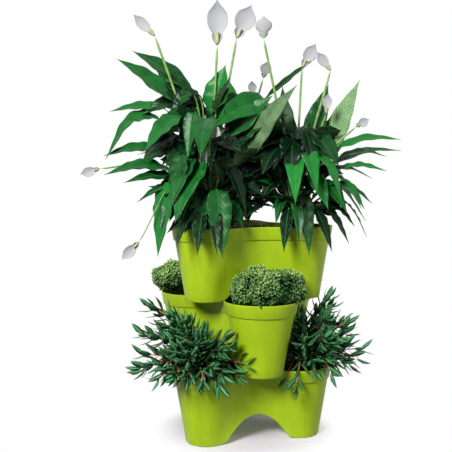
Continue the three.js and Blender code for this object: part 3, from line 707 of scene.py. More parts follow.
# Azimuth of the leaf in degrees, then the reach and height of its neck and of its tip, its width
# and its arch as shares, its roll in degrees and its tone. The tone is partly the leaf's own green
# and partly painted light and shade: leaves out in the light are set lighter, those inside the
# clump darker.
LEFT_LEAVES = (
    (175, 0.27, 0.64, 0.81, 0.9, 0.85, 0.07, -50, 0.35),
    (150, 0.15, 0.7, 0.72, 0.97, 0.8, 0.08, -45, 0.2),
    (160, 0.1, 0.58, 0.48, 0.86, 1.1, 0.08, -50, 0.05),
    (170, 0.05, 0.56, 0.36, 0.76, 1.1, 0.1, -60, 0),
    (160, 0.38, 0.64, 0.9, 0.64, 0.55, 0.08, -40, 0.4),
    (165, 0.42, 0.58, 0.93, 0.38, 0.75, 0.32, -40, 0.35),
    (200, 0.28, 0.6, 0.66, 0.42, 0.9, 0.12, -25, 0.35),
    (250, 0.25, 0.58, 0.75, 0.38, 0.9, 0.15, -10, 0.3),
    (163, 0.42, 0.42, 0.95, 0.4, 0.6, 0.1, -40, 0.25),
    (172, 0.3, 0.42, 0.62, 0.36, 0.75, 0.12, -40, 0.15),
    (185, 0.3, 0.3, 0.95, 0.3, 0.7, 0.12, -35, 0.3),
    (190, 0.25, 0.26, 0.8, 0.26, 0.6, 0.1, -35, 0.2),
    (192, 0.25, 0.22, 0.69, 0.16, 0.5, 0.15, -20, 0.2),
    (203, 0.42, 0.26, 0.56, -0.12, 1, 0.1, -10, 0.5),
    (228, 0.17, 0.36, 0.62, 0.06, 1.15, 0.15, -10, 0.4),
    (222, 0.25, 0.38, 0.6, 0.12, 0.8, 0.12, 0, 0.25),
    (268, 0.28, 0.22, 0.5, -0.12, 0.95, 0.12, 0, 0.3),
    (330, 0.22, 0.32, 0.78, 0.76, 0.95, 0.08, -114, 0.3),
    (345, 0.12, 0.46, 0.56, 0.72, 1.1, 0.06, 55, 0.3),
    (300, 0.08, 0.62, 0.25, 0.8, 0.8, 0.05, 20, 0.35),
    (345, 0.02, 0.6, 0.14, 0.88, 1.1, 0.05, 60, 0.55),
    (340, 0, 0.52, 0.16, 0.74, 1.1, 0.08, 50, 0.1),
    (345, 0.1, 0.4, 0.7, 0.62, 0.95, 0.1, 40, -0.05),
    (335, 0.2, 0.4, 0.55, 0.58, 0.9, 0.15, 40, 0.2),
    (20, 0.1, 0.6, 0.5, 0.68, 0.9, 0.2, 60, 0.25),
    (228, 0.3, 0.62, 0.4, 0.38, 0.6, 0.15, 0, 0.3),
    (188, 0.3, 0.5, 0.62, 0.38, 0.85, 0.12, -45, -0.05),
    (170, 0.25, 0.6, 0.45, 0.46, 0.6, 0.1, -70, 0.9),
    (216, 0.36, 0.4, 0.46, 0.1, 0.9, 0.15, 0, 0.2),
    (228, 0.2, 0.36, 0.5, 0.07, 1, 0.12, 10, 0.4),
    (205, 0.3, 0.28, 0.55, 0.02, 0.8, 0.12, -15, 0.2),
    (285, 0.1, 0.5, 0.3, 0.3, 0.7, 0.15, 0, -0.15),
    (300, 0.2, 0.35, 0.45, 0.1, 0.8, 0.15, 0, -0.15),
    (250, 0.12, 0.5, 0.3, 0.24, 0.9, 0.2, 15, -0.1),
    (180, 0.15, 0.72, 0.35, 0.6, 0.6, 0.25, -50, 0.15),
    (150, 0.1, 0.72, 0.3, 0.66, 0.7, 0.15, -60, 0.1),
    (165, 0.12, 0.66, 0.6, 0.62, 0.9, 0.15, -50, 0.1),
    (190, 0.15, 0.6, 0.5, 0.5, 1, 0.15, -40, 0.08),
    (200, 0.15, 0.44, 0.46, 0.34, 1, 0.15, -40, 0.08),
    (160, 0.2, 0.42, 0.5, 0.5, 0.7, 0.1, -60, 0.1),
    (178, 0.25, 0.14, 0.55, 0.24, 0.6, 0.1, -30, 0.2),
    (170, 0.3, 0.2, 0.62, 0.17, 0.5, 0.15, -30, 0.25),
    (212, 0.22, 0.2, 0.5, 0.06, 0.7, 0.15, -10, 0.2),
    (330, 0.12, 0.2, 0.4, 0.3, 0.6, 0.15, 30, 0.05),
    (240, 0.22, 0.2, 0.46, -0.04, 0.8, 0.12, -10, 0.15),
    (225, 0.2, 0.14, 0.42, 0, 0.7, 0.12, -10, 0.1),
    (300, 0.18, 0.16, 0.42, 0.02, 0.7, 0.12, 10, 0.1),
    (245, 0.3, 0.12, 0.56, -0.1, 0.5, 0.1, 0, 0),
    (228, 0.3, 0.14, 0.6, -0.06, 0.5, 0.1, 0, 0.05),
    (262, 0.3, 0.14, 0.56, -0.1, 0.5, 0.1, 0, -0.1),
)
RIGHT_LEAVES = (
    (350, 0.2, 0.3, 0.6, 0.82, 1, 0.05, -122, 0.65),
    (5, 0.12, 0.4, 0.34, 0.8, 0.9, 0.05, 50, 0.2),
    (175, 0.1, 0.3, 0.12, 0.78, 1.1, 0.06, 45, 0.12),
    (335, 0.3, 0.4, 0.95, 0.49, 0.6, 0.12, 30, 0.55),
    (2, 0.33, 0.33, 1.1, 0.44, 0.45, 0.1, 30, 0.3),
    (320, 0.33, 0.3, 0.85, 0.32, 0.6, 0.12, 20, 0.5),
    (345, 0.33, 0.2, 0.72, 0.14, 0.85, 0.2, 20, 0.15),
    (310, 0.36, 0.24, 0.7, 0.12, 0.6, 0.25, 20, 0.4),
    (333, 0.42, 0.16, 0.66, -0.04, 0.5, 0.15, 0, 0.3),
    (265, 0.3, 0.2, 0.48, -0.12, 0.6, 0.1, 0, 0.1),
    (198, 0.12, 0.2, 0.42, 0.27, 0.5, 0.08, -40, 0.3),
    (228, 0.2, 0.18, 0.45, 0.04, 0.5, 0.2, 0, 0.2),
    (172, 0.1, 0.3, 0.3, 0.56, 1, 0.05, -60, 0.3),
    (60, 0.2, 0.45, 0.6, 0.55, 0.8, 0.1, 0, 0.2),
    (192, 0.22, 0.66, 0.85, 0.54, 1.1, 0.15, -60, 0.35),
    (200, 0.15, 0.5, 0.6, 0.4, 1, 0.15, -50, -0.15),
    (172, 0.1, 0.56, 0.5, 0.62, 1, 0.1, -70, 0.2),
    (215, 0.2, 0.45, 0.5, 0.3, 1, 0.15, -20, -0.2),
    (245, 0.2, 0.5, 0.45, 0.28, 1, 0.15, 0, -0.2),
    (275, 0.15, 0.55, 0.4, 0.33, 0.9, 0.15, 0, -0.15),
    (300, 0.2, 0.5, 0.5, 0.34, 0.9, 0.15, 20, 0.15),
    (250, 0.25, 0.38, 0.62, 0.15, 0.75, 0.22, 12, 0.7),
    (290, 0.25, 0.4, 0.62, 0.17, 0.8, 0.22, -10, 0.6),
    (270, 0.2, 0.44, 0.55, 0.2, 0.75, 0.22, 0, 0.6),
    (240, 0.3, 0.12, 0.56, -0.1, 0.5, 0.1, 0, 0),
    (285, 0.3, 0.12, 0.56, -0.1, 0.5, 0.1, 0, -0.05),
    (302, 0.3, 0.14, 0.6, -0.06, 0.5, 0.1, 0, 0),
    (255, 0.22, 0.22, 0.5, -0.06, 0.6, 0.15, 0, 0.2),
    (315, 0.3, 0.3, 0.65, 0.12, 0.6, 0.2, 0, 0.25),
    (325, 0.2, 0.26, 0.66, 0.05, 0.7, 0.2, 0, 0.4),
    (345, 0.34, 0.36, 0.85, 0.4, 0.55, 0.15, 20, 0.45),
    (355, 0.25, 0.3, 0.75, 0.28, 0.55, 0.15, 20, 0.3),
    (10, 0.15, 0.4, 0.5, 0.64, 0.8, 0.05, 60, 0.1),
    (30, 0.2, 0.3, 0.6, 0.35, 0.7, 0.15, 20, 0.15),
    (185, 0.2, 0.12, 0.5, 0.06, 0.6, 0.2, -10, 0.15),
    (220, 0.15, 0.1, 0.4, 0.12, 0.5, 0.2, 0, 0.3),
    (285, 0.22, 0.3, 0.5, 0.12, 0.7, 0.15, 20, 0.5),
    (305, 0.25, 0.26, 0.56, 0.1, 0.7, 0.15, 30, 0.3),
    (325, 0.3, 0.14, 0.56, 0.02, 0.6, 0.12, 10, 0.1),
    (248, 0.18, 0.12, 0.4, 0.02, 0.7, 0.12, 0, 0.05),
)
BACK_LEAVES = (
    (350, 0.28, 0.7, 0.85, 1.0, 0.4, 0.04, 35, 0.2),
    (25, 0.3, 0.4, 0.9, 0.42, 0.8, 0.15, 0, 0.3),
    (60, 0.3, 0.5, 0.66, 0.5, 0.9, 0.15, 0, 0.3),
    (95, 0.35, 0.3, 0.58, 0.12, 0.8, 0.15, 0, 0.3),
    (130, 0.3, 0.5, 0.66, 0.48, 0.9, 0.15, 0, 0.3),
    (160, 0.3, 0.4, 0.95, 0.42, 0.8, 0.12, 0, 0.3),
    (78, 0.1, 0.6, 0.35, 0.88, 0.8, 0.05, 0, 0.4),
    (118, 0.1, 0.66, 0.4, 0.8, 0.8, 0.05, 0, 0.4),
    (205, 0.1, 0.5, 0.35, 0.72, 0.8, 0.05, -30, 0.3),
    (330, 0.1, 0.55, 0.4, 0.72, 0.8, 0.05, 30, 0.3),
)
# Azimuth of the stalk in degrees, then the reach and height of the flower's base and how far the
# stalk bows up as shares, then lean and spin in degrees, then length and width as shares.
LEFT_FLOWERS = (
    (172, 0.48, 1.025, 0.05, -45, 0, 0.75, 0.5),
    (335, 0.07, 0.98, 0.03, 0, 0, 1.15, 1),
    (350, 0.24, 1.02, 0.05, 24, 0, 0.92, 1),
    (178, 0.97, 0.33, 0.18, -105, 0, 0.5, 0.45),
    (200, 0.72, -0.04, 0.3, -135, 0, 0.6, 0.5),
    (256, 0.5, 0.48, 0.15, 40, 0, 0.33, 0.5),
)
RIGHT_FLOWERS = (
    (200, 0.37, 1.02, 0.05, 0, 180, 0.55, 0.8),
    (10, 0.07, 0.89, 0.03, 31, 0, 0.7, 0.65),
    (352, 0.33, 0.87, 0.05, -36, 0, 0.6, 0.5),
    (318, 0.3, 0.63, 0.05, 5, 0, 0.5, 0.45),
    (340, 0.55, 0.56, 0.1, 60, 0, 0.4, 0.45),
)
BACK_FLOWERS = (
    (345, 0.31, 0.87, 0.05, 15, 0, 0.47, 0.6),
    (325, 0.22, 0.76, 0.03, -5, 0, 0.42, 0.45),
)
LILIES = (
    ("left", 1, LEFT_LEAVES, LEFT_FLOWERS),
    ("right", 2, RIGHT_LEAVES, RIGHT_FLOWERS),
    ("back", 0, BACK_LEAVES, BACK_FLOWERS),
)
print("leaves placed by hand", len(LEFT_LEAVES + RIGHT_LEAVES + BACK_LEAVES))

# %% Shape of a lily leaf
NECK_SHARE, STALK_SHARE = 0.5, 0.52
LEAF_ROWS, LEAF_COLUMNS = 34, 13
LEAF_LIFT, LEAF_CLEARANCE = 5.5 * MM, 3 * MM
LEAF_THICKNESS, LEAST_HALF = 0.7 * MM, 0.3 * MM
STALK_RADII = np.linspace(3.2, 1.7, 16) * MM
FLOWER_STALK_RADII = np.linspace(1, 0.8, 24) * 1.5 * MM
FILLERS = 60


def blade_half(t):
    """Half width along the blade as a share of its greatest: sin(pi t^0.75) (1 - 0.2 t), drawn
    out to a fine tip."""
    return np.sin(np.pi * t**0.75) * (1 - 0.2 * t) * (1 - 0.45 * np.clip((t - 0.8) / 0.2, 0, 1) ** 2)


def leaf_path(leaf, shares):
    """Path of a leaf from the crown through its neck to its tip, in the upright plane at its
    azimuth, and the level direction square to that plane."""
    azimuth, neck_reach, neck_height, tip_reach, tip_height, _, arch = leaf[:7]
    out = outwards(np.radians(azimuth))

    def at(reach, height):
        return out * reach * LILY_REACH + UP * height * LILY_HEIGHT

    neck, tip = at(neck_reach, neck_height), at(tip_reach, tip_height)
    crest = (neck + tip) / 2 + UP * arch * np.linalg.norm(tip - neck)
    knots = [at(0, 0), at(0.4 * neck_reach, 0.6 * neck_height), neck, crest, tip]
    return smooth_path(knots, shares), np.cross(out, UP)


def add_leaf(shape, leaf, crown, rng):
    """A blade: at each row the points go across by half the width, their edges rise in a shallow
    trough, the margin waves, and the face is rolled about the path."""
    path, side = leaf_path(leaf, np.linspace(NECK_SHARE, 1, LEAF_ROWS))
    t = np.linspace(0, 1, LEAF_ROWS)
    tangent = unit(np.gradient(path, axis=0))
    roll = np.radians(leaf[7]) * np.minimum(1, 3 * t)[:, None]
    flat = side * np.cos(roll) + np.cross(tangent, side) * np.sin(roll)
    face = np.cross(flat, tangent)
    half = np.maximum(leaf[5] * LILY_WIDTH / 2 * blade_half(t), LEAST_HALF)
    v = np.linspace(-1, 1, LEAF_COLUMNS)
    trough = 0.34 * np.abs(v) ** 1.2 - 0.1 * v**4
    phase = rng.uniform(0, TURN, 2)
    waves = rng.uniform(3.5, 6)
    edge = np.where(v < 0, phase[0], phase[1])
    calm = np.minimum(1, 4 * (1 - t[:, None]))
    wave = 0.09 * np.abs(v) ** 2.5 * np.sin(TURN * waves * t[:, None] + edge) * calm
    rise = half[:, None] * (trough + wave)
    blade = path[:, None] + flat[:, None] * (half[:, None] * v)[..., None]
    points = blade + face[:, None] * rise[..., None]
    along = np.r_[0, np.cumsum(np.linalg.norm(np.diff(path, axis=0), axis=1))]
    uv = np.stack(np.broadcast_arrays(along[:, None], half[:, None] * v), -1) / UV_UNIT
    points = push_clear(points + crown, [2], LEAF_CLEARANCE)
    shape.add(points, grid_faces(LEAF_ROWS, LEAF_COLUMNS), uv, leaf[8])


def filler_leaves(count, rng):
    """Leaves between the stalks, with their necks and tips inside the clump, given a tone that is painted
    shade, darker lower down.
    """
    azimuth = rng.uniform(0, 360, count)
    neck_reach, neck_height = rng.uniform(0.06, 0.25, count), rng.uniform(0.05, 0.52, count)
    tip_reach = neck_reach + rng.uniform(0.15, 0.35, count)
    tip_height = neck_height + rng.uniform(-0.12, 0.18, count)
    width, arch = rng.uniform(0.65, 1.05, count), rng.uniform(0.05, 0.22, count)
    roll, tone = rng.uniform(-60, 60, count), 0.3 * tip_height + rng.uniform(-0.4, -0.05, count)
    return list(zip(azimuth, neck_reach, neck_height, tip_reach, tip_height, width, arch, roll, tone))


def flower_base(flower):
    """Where a flower head joins its stalk, from the crown."""
    return outwards(np.radians(flower[0])) * flower[1] * LILY_REACH + UP * flower[2] * LILY_HEIGHT


def lily_crown(lobe):
    """Where a lily leaves the compost in a lobe of the top pot."""
    level = 2 * TIER_PITCH + COMPOST_LEVEL + FIT + LEAF_LIFT
    return outwards(FIRST_LOBE + 2 * lobe * SIXTH) * LILY_DISTANCE + UP * level


for side, lobe, leaves, flowers in LILIES:
    rng = np.random.default_rng(200 + lobe)
    crown = lily_crown(lobe)
    every = list(leaves) + filler_leaves(FILLERS, rng)
    blades, stalks = Shape(), Shape()
    for leaf in every:
        add_leaf(blades, leaf, crown, rng)
        path, across = leaf_path(leaf, np.linspace(0, STALK_SHARE, len(STALK_RADII)))
        points, faces = tube(push_clear(path + crown, [2], LEAF_CLEARANCE), across, STALK_RADII)
        # A stalk takes its leaf's tone, painted shade included.
        stalks.add(points, faces, tone=0.3 + 0.5 * leaf[8])
    for flower in flowers:
        base = flower_base(flower)
        middle = base * np.array([0.45, 0.45, 0.5]) + UP * flower[3] * LILY_HEIGHT
        steps = np.linspace(0, 1, len(FLOWER_STALK_RADII))
        path = smooth_path([np.zeros(3), middle, base], steps)
        across = np.cross(outwards(np.radians(flower[0])), UP)
        radius = FLOWER_STALK_RADII * (1 + max(flower[2], 0))
        points, faces = tube(push_clear(path + crown, [2], LEAF_CLEARANCE), across, radius)
        stalks.add(points, faces, tone=0.75)
    node = "peace_lily_" + side
    skins, wall = [LILY_TOP, LILY_UNDER], {"thickness": LEAF_THICKNESS}
    make_piece(node + "_leaves", blades, skins, "top_tier", "lily_leaf", [node], **wall)
    make_piece(node + "_stalks", stalks, [LILY_STALK], "top_tier", "lily_leaf", [node])

# %% [markdown]
# ## Lily flowers
# What looks like a petal is the spathe, one white leaf that hugs the flower spike at its foot and
# opens above it to a fine point. Its cross-section is an arc, tight at the foot and flatter
# towards the tip, so one formula covers both. The spike is a rounded rod set with rows of tiny
# knobs.

# %% White spathe and cream spike
SPATHE_VEIN, SPATHE_VEIN_DEPTH = 2.2 * MM, 0.2 * MM
GREEN_FOOT = 22 * MM
KNOB, KNOB_DEPTH = 1.6 * MM, 0.5 * MM


def spathe_material():
    """Chalk white, a little green towards the foot, with fine lengthwise veins 2.2 mm apart."""
    material, tree = new_material("white lily spathe")
    parts = add(tree, "SeparateXYZ", {"Vector": add(tree, "TexCoord", {}, "UV")}).outputs
    turns = {"operation": "MULTIPLY", 0: parts["Y"], 1: TURN * UV_UNIT / SPATHE_VEIN}
    veins = add(tree, "Math", {"operation": "SINE", 0: add(tree, "Math", turns, 0)}, 0)
    ribbed = add(tree, "MapRange", {"Value": veins, "From Min": 0.2}, 0)
    white = {"data_type": "RGBA", 0: ribbed, MIX_A: linear("#b3b5b7"), MIX_B: linear("#a6a9ad")}
    white = add(tree, "Mix", white, MIX_OUT)
    from_foot = {"Value": parts["X"], "From Max": GREEN_FOOT / UV_UNIT, "To Min": 0.5, "To Max": 0.0}
    foot = add(tree, "MapRange", from_foot, 0)
    white = {"data_type": "RGBA", 0: foot, MIX_A: white, MIX_B: linear("#a9b788")}
    white = add(tree, "Mix", white, MIX_OUT)
    relief = {"Height": veins, "Strength": 0.15, "Distance": SPATHE_VEIN_DEPTH}
    relief = add(tree, "Bump", relief, 0)
    surface = {"Base Color": white, "Roughness": 0.6, "Normal": relief, "IOR": 1.4}
    surface["Specular IOR Level"] = 0.2
    add(tree, "OutputMaterial", {"Surface": add(tree, "BsdfPrincipled", surface, 0)})
    return material


def spike_material():
    """Cream knobs with a greenish gap round each, 1.6 mm across."""
    material, tree = new_material("cream lily spike")
    place = add(tree, "TexCoord", {}, "Object")
    knobs = add(tree, "TexVoronoi", {"Vector": place, "Scale": 1 / KNOB}, "Distance")
    gaps = add(tree, "MapRange", {"Value": knobs, "From Min": 0.35, "From Max": 0.7}, 0)
    cream = {"data_type": "RGBA", 0: gaps, MIX_A: linear("#d8d2ac"), MIX_B: linear("#a3a070")}
    cream = add(tree, "Mix", cream, MIX_OUT)
    relief = {"Height": knobs, "Strength": 0.8, "Distance": KNOB_DEPTH, "invert": True}
    surface = {"Base Color": cream, "Roughness": 0.7, "Normal": add(tree, "Bump", relief, 0), "IOR": 1.4}
    add(tree, "OutputMaterial", {"Surface": add(tree, "BsdfPrincipled", surface, 0)})
    return material


SPATHE, SPIKE = spathe_material(), spike_material()
SPATHE_LENGTH, SPATHE_WIDTH = 84 * MM, 46 * MM
SPATHE_THICKNESS, SPATHE_LEAST = 0.6 * MM, 0.4 * MM
SPATHE_ROWS, SPATHE_COLUMNS = 30, 17
SPIKE_LENGTH, SPIKE_RADIUS, SPIKE_START = 27 * MM, 3.6 * MM, 3 * MM
SPIKE_ROWS, SPIKE_COLUMNS = 36, 24
PICTURE_RIGHT = np.radians(-15)


def spathe_half(t):
    """Half width of the spathe as a share of its greatest: the wider of a hood round the spike,
    0.6 sin(pi (t / 0.38)^0.9), and a blade, sin(pi s^0.75)^0.9 with s = (t - 0.2) / 0.8, which is
    drawn out to a fine point. They leave a waist between them."""
    hood = 0.6 * np.sin(np.pi * np.clip(t / 0.38, 0, 1) ** 0.9)
    s = np.clip((t - 0.2) / 0.8, 0, 1)
    blade = np.sin(np.pi * s**0.75) ** 0.9 * (1 - 0.6 * np.clip((s - 0.55) / 0.45, 0, 1) ** 1.3)
    return np.maximum(hood, blade)


def flower_head(flower, crown):
    """Spathe: at each row an arc of half angle A carries the sheet, whose half width is w, so a
    point at share v lies at w sin(vA)/A across and w (1 - cos(vA))/A forward. A falls from 1.4
    at the foot to 0.5. Spike: rings of a rounded rod whose radius ripples round and along it."""
    lean, spin, length, width = np.radians(flower[4]), np.radians(flower[5]), flower[6], flower[7]
    right = outwards(PICTURE_RIGHT)
    along = UP * np.cos(lean) + right * np.sin(lean)
    level = np.cross(right, UP)
    front = level * np.cos(spin) + np.cross(along, level) * np.sin(spin)
    side = np.cross(along, front)
    base = crown + flower_base(flower)

    def at(onwards, forwards):
        return base + along * onwards * length + front * forwards * length

    hood = 2 * SPIKE_RADIUS
    bends = ((0, 0), (0.35, hood), (0.75, hood), (1, 0))
    t = np.linspace(0, 1, SPATHE_ROWS)
    path = smooth_path([at(share * SPATHE_LENGTH, -back) for share, back in bends], t)
    face = np.cross(side, unit(np.gradient(path, axis=0)))
    sheet = np.maximum(SPATHE_WIDTH * width / 2 * spathe_half(t), SPATHE_LEAST)[:, None]
    angle = (0.5 + 0.9 * np.clip(1 - t / 0.6, 0, 1) ** 1.5)[:, None]
    v = np.linspace(-1, 1, SPATHE_COLUMNS)
    across = sheet * np.sin(v * angle) / angle
    forward = sheet * (1 - np.cos(v * angle)) / angle
    points = path[:, None] + side * across[..., None] + face[:, None] * forward[..., None]
    travelled = np.r_[0, np.cumsum(np.linalg.norm(np.diff(path, axis=0), axis=1))]
    uv = np.stack(np.broadcast_arrays(travelled[:, None], sheet * v), -1) / UV_UNIT
    spathe = Shape()
    spathe.add(points, grid_faces(SPATHE_ROWS, SPATHE_COLUMNS), uv)
    start, stop = at(SPIKE_START, 0), at(SPIKE_LENGTH, SPIKE_RADIUS / 2)
    s = np.linspace(0, 1, SPIKE_ROWS)
    phi = np.linspace(0, TURN, SPIKE_COLUMNS, endpoint=False)
    radius = SPIKE_RADIUS * length * np.sqrt(np.clip(1 - (2 * s - 1) ** 6, 0, 1))[:, None]
    shift = np.pi * (np.arange(SPIKE_ROWS)[:, None] % 2)
    knob = 1 + 0.08 * np.cos(8 * phi + shift) * np.sin(np.pi * s[:, None])
    axis = unit(stop - start)
    beside = unit(np.cross(axis, side))
    ring = np.cos(phi)[:, None] * side + np.sin(phi)[:, None] * beside
    rod = (start + (stop - start) * s[:, None])[:, None] + ring * (radius * knob)[..., None]
    spike = Shape()
    spike.add(rod, grid_faces(SPIKE_ROWS, SPIKE_COLUMNS, closed=True, flip=True))
    return spathe, spike


for side, lobe, _, flowers in LILIES:
    for number, flower in enumerate(flowers):
        node = f"peace_lily_{side}_flower_{number + 1}"
        spathe, spike = flower_head(flower, lily_crown(lobe))
        wall = {"thickness": SPATHE_THICKNESS}
        make_piece(node + "_spathe", spathe, [SPATHE], "top_tier", "petal", [node], **wall)
        make_piece(node + "_spike", spike, [SPIKE], "top_tier", "petal", [node])

# %% [markdown]
# ## Stonecrop cushions
# A stonecrop is a dome packed with tiny rosettes. Modelling each leaf of thousands by hand is out
# of reach and a bumpy dome looks like moss, so one rosette of six plump leaves, eight faces each,
# is copied over the dome, turned and sized at random from a fixed seed. Seventy sprigs stand out
# from the dome and catch the light. Rosettes high on the dome and on the sprigs get a lighter tone
# and those in the hollows between them a darker one, which is painted light and shade. A dark dome
# beneath stands for the stems in their own shade. No two cushions grow alike, so a table says how
# large each one is and which way it leans out of its pot.

# %% Rosettes on a dome
CUSHION_DISTANCE = 146 * MM
CUSHION_WIDTH, CUSHION_DEPTH, CUSHION_HEIGHT = 186 * MM, 130 * MM, 96 * MM
CUSHION_BUMP = 5 * MM
CUSHION_FOOT, CUSHION_TOP, ROSETTE_TOP = -1.2, 1.35, 1.5
CORE_ROWS, CORE_COLUMNS = 14, 40
CORE_INSET, CORE_CLEARANCE = 18 * MM, 2 * MM
ROSETTES = 900
ROSETTE_LEAVES = 6
ROSETTE_RADIUS, ROSETTE_INSET = 11 * MM, 9 * MM
LEAST_HEIGHT = 2 * MM


def cushion_points(latitude, angle, azimuth, inset=0.0):
    """Dome with half axes of half the depth and width: the reach follows cos(latitude), the height
    sin(latitude), scaled to run from 0 at the foot to 1 at the top, and a slow swell depends on
    both angles."""
    ring = 2 * (latitude - CUSHION_FOOT) / (CUSHION_TOP - CUSHION_FOOT) * 7
    swell = CUSHION_BUMP * np.sin(5 * angle + ring + azimuth) * np.cos(3 * angle - ring / 2) - inset
    sole = np.sin(CUSHION_FOOT)
    level = (np.sin(latitude) - sole) / (np.sin(CUSHION_TOP) - sole)
    along = (CUSHION_DEPTH / 2 + swell) * np.cos(latitude) * np.cos(angle)
    across = (CUSHION_WIDTH / 2 + swell) * np.cos(latitude) * np.sin(angle)
    height = CUSHION_HEIGHT * level + swell * np.sin(latitude)
    c, s = np.cos(azimuth), np.sin(azimuth)
    return np.stack([along * c - across * s, along * s + across * c, np.maximum(height, 0)], axis=-1)


def rosette():
    """Six leaves, each an octahedron stretched along its own direction, as points and faces."""
    angle = np.arange(ROSETTE_LEAVES) * TURN / ROSETTE_LEAVES
    tilt = np.where(np.arange(ROSETTE_LEAVES) % 2 == 0, 0.25, 0.75)
    along = np.stack([np.cos(angle) * np.cos(tilt), np.sin(angle) * np.cos(tilt), np.sin(tilt)], -1)
    across = np.stack([-np.sin(angle), np.cos(angle), np.zeros_like(angle)], -1)
    normal = np.cross(along, across)
    body = OCTAHEDRON * np.array([0.5, 0.27, 0.14]) + np.array([0.5, 0, 0])
    body[[1, 3], 0] = 0.68
    body[[4, 5], 0] = 0.6
    points = body @ np.stack([along, across, normal], axis=1)
    faces = OCTA_FACES[None] + 6 * np.arange(ROSETTE_LEAVES)[:, None, None]
    return points.reshape(-1, 3), faces.reshape(-1, 3)


def copies(template, faces, origin, along, across, size):
    """Copies of a template: point = origin + size (x along + y across + z (along x across))."""
    frame_axes = np.stack([along, across, np.cross(along, across)], axis=1) * size[:, None, None]
    points = origin[:, None] + template[None] @ frame_axes
    return points, faces[None] + len(template) * np.arange(len(origin))[:, None, None]


def keep_clear(points, tiers, clearance):
    """True for each copy whose points are all clear of the pots."""
    clear = np.ones(len(points), bool)
    for tier in tiers:
        gap, _, height = pot_gap(points, tier)
        clear &= ~taken(gap, height, clearance).any(axis=1)
    return clear


SPRIGS, SPRIG_SIZE = 70, 0.42
SPRIG_RISE, HOLLOW = 17 * MM, 7 * MM
TOUCH = 0.5 * MM
# Name, size as a share of the solid's, and how far the cushion has grown to the right, away and
# up, as seen from the front.
CUSHIONS = (
    ("left", 0.55, -30 * MM, 38 * MM, 16 * MM),
    ("front", 0.84, 7 * MM, 4 * MM, 3 * MM),
    ("right", 0.85, 0.0, 0.0, 0.0),
)
for number, (side, share, right, away, lift) in enumerate(CUSHIONS):
    rng = np.random.default_rng(300 + number)
    azimuth = FIRST_LOBE + tier_turn(1) + 2 * number * SIXTH
    foot = outwards(azimuth) * CUSHION_DISTANCE + UP * (TIER_PITCH + COMPOST_LEVEL + FIT + lift)
    foot = foot + outwards(PICTURE_RIGHT) * right + outwards(PICTURE_RIGHT + TURN / 4) * away
    latitude = np.linspace(CUSHION_FOOT, CUSHION_TOP, CORE_ROWS)[:, None]
    angle = np.linspace(0, TURN, CORE_COLUMNS, endpoint=False)
    dome = cushion_points(latitude, angle, azimuth, CORE_INSET)
    crest = np.broadcast_to(dome[-1:].mean(axis=1, keepdims=True), dome[-1:].shape)
    dome = np.concatenate([dome[:1] * 0, dome, crest]) * share
    core = Shape()
    rows, columns = dome.shape[:2]
    core.add(push_clear(foot + dome, [1, 2], CORE_CLEARANCE), grid_faces(rows, columns, closed=True))
    node = "stonecrop_" + side
    make_piece(node + "_stems", core, [SHADE], "middle_tier", "stonecrop_leaf", [node])
    latitude = np.arcsin(rng.uniform(np.sin(CUSHION_FOOT), np.sin(ROSETTE_TOP), ROSETTES))
    angle = rng.uniform(0, TURN, ROSETTES)
    place = cushion_points(latitude, angle, azimuth, ROSETTE_INSET) * share
    centre = UP * 0.35 * CUSHION_HEIGHT * share
    outward = unit(place - centre)
    sprigs = outward[rng.choice(ROSETTES, SPRIGS, replace=False)]
    nearest = np.sqrt(((outward[:, None] - sprigs) ** 2).sum(-1)).min(axis=1)
    crown = np.clip(1 - nearest / SPRIG_SIZE, 0, 1)[:, None]
    place = place + outward * (SPRIG_RISE * crown - HOLLOW) * rng.uniform(0.7, 1.2, (ROSETTES, 1))
    place[:, 2] = np.maximum(place[:, 2], LEAST_HEIGHT)
    ahead = unit(outward + rng.normal(0, 0.3, (ROSETTES, 3)))
    first = unit(np.cross(ahead, rng.normal(0, 1, (ROSETTES, 3))))
    template, faces = rosette()
    size = ROSETTE_RADIUS * rng.uniform(0.6, 1.2, ROSETTES)
    points, faces = copies(template, faces, foot + place, first, np.cross(ahead, first), size)
    points = push_clear(points, [1, 2], TOUCH)
    tips = np.tile(np.where(np.arange(6) == 0, 1.0, 0.4), ROSETTE_LEAVES)
    # Painted light and shade: lit raises the tone of rosettes high on the dome, and crown raises it on
    # the sprigs and lowers it in the hollows.
    lit = np.clip(0.3 + 0.7 * (place[:, 2:] - centre[2]) / (0.65 * CUSHION_HEIGHT * share), 0.15, 1)
    tone = tips * (0.3 + 0.7 * lit) * (0.25 + crown) * rng.uniform(0.65, 1.15, (ROSETTES, 1)) - 0.1
    leaves = Shape()
    leaves.add(points, faces.reshape(-1, 3), tone=tone.ravel())
    make_piece(node + "_rosettes", leaves, [STONECROP], "middle_tier", "stonecrop_leaf", [node], **LOOSE)

# %% [markdown]
# ## Shrubs
# The shrubs send out arching shoots with pairs of narrow leaves, each pair square to the one
# before. The shoots that give the bush its outline are placed one by one, and seeded ones fill it
# out. One drooping leaf of 24 faces is copied to every pair's place, a little smaller and brighter
# towards the shoot's tip, and copies that would touch a pot are left out. The leaves are leathery
# and glossy, so each one catches a small light of its own.

# %% Shoots and leaves
SHRUB_DISTANCE = 142 * MM
SHOOT_REACH, SHOOT_HEIGHT = 130 * MM, 122 * MM
SHRUB_LEAF_LENGTH, SHRUB_LEAF_WIDTH = 46 * MM, 15 * MM
NODE_SPACING = 10 * MM
STEM_END, STEM_CLEARANCE = 0.86, 4 * MM
STEM_RADII = np.linspace(1.9, 1.1, 20) * MM
STEM_SIDES = 6
DROOP = 0.8
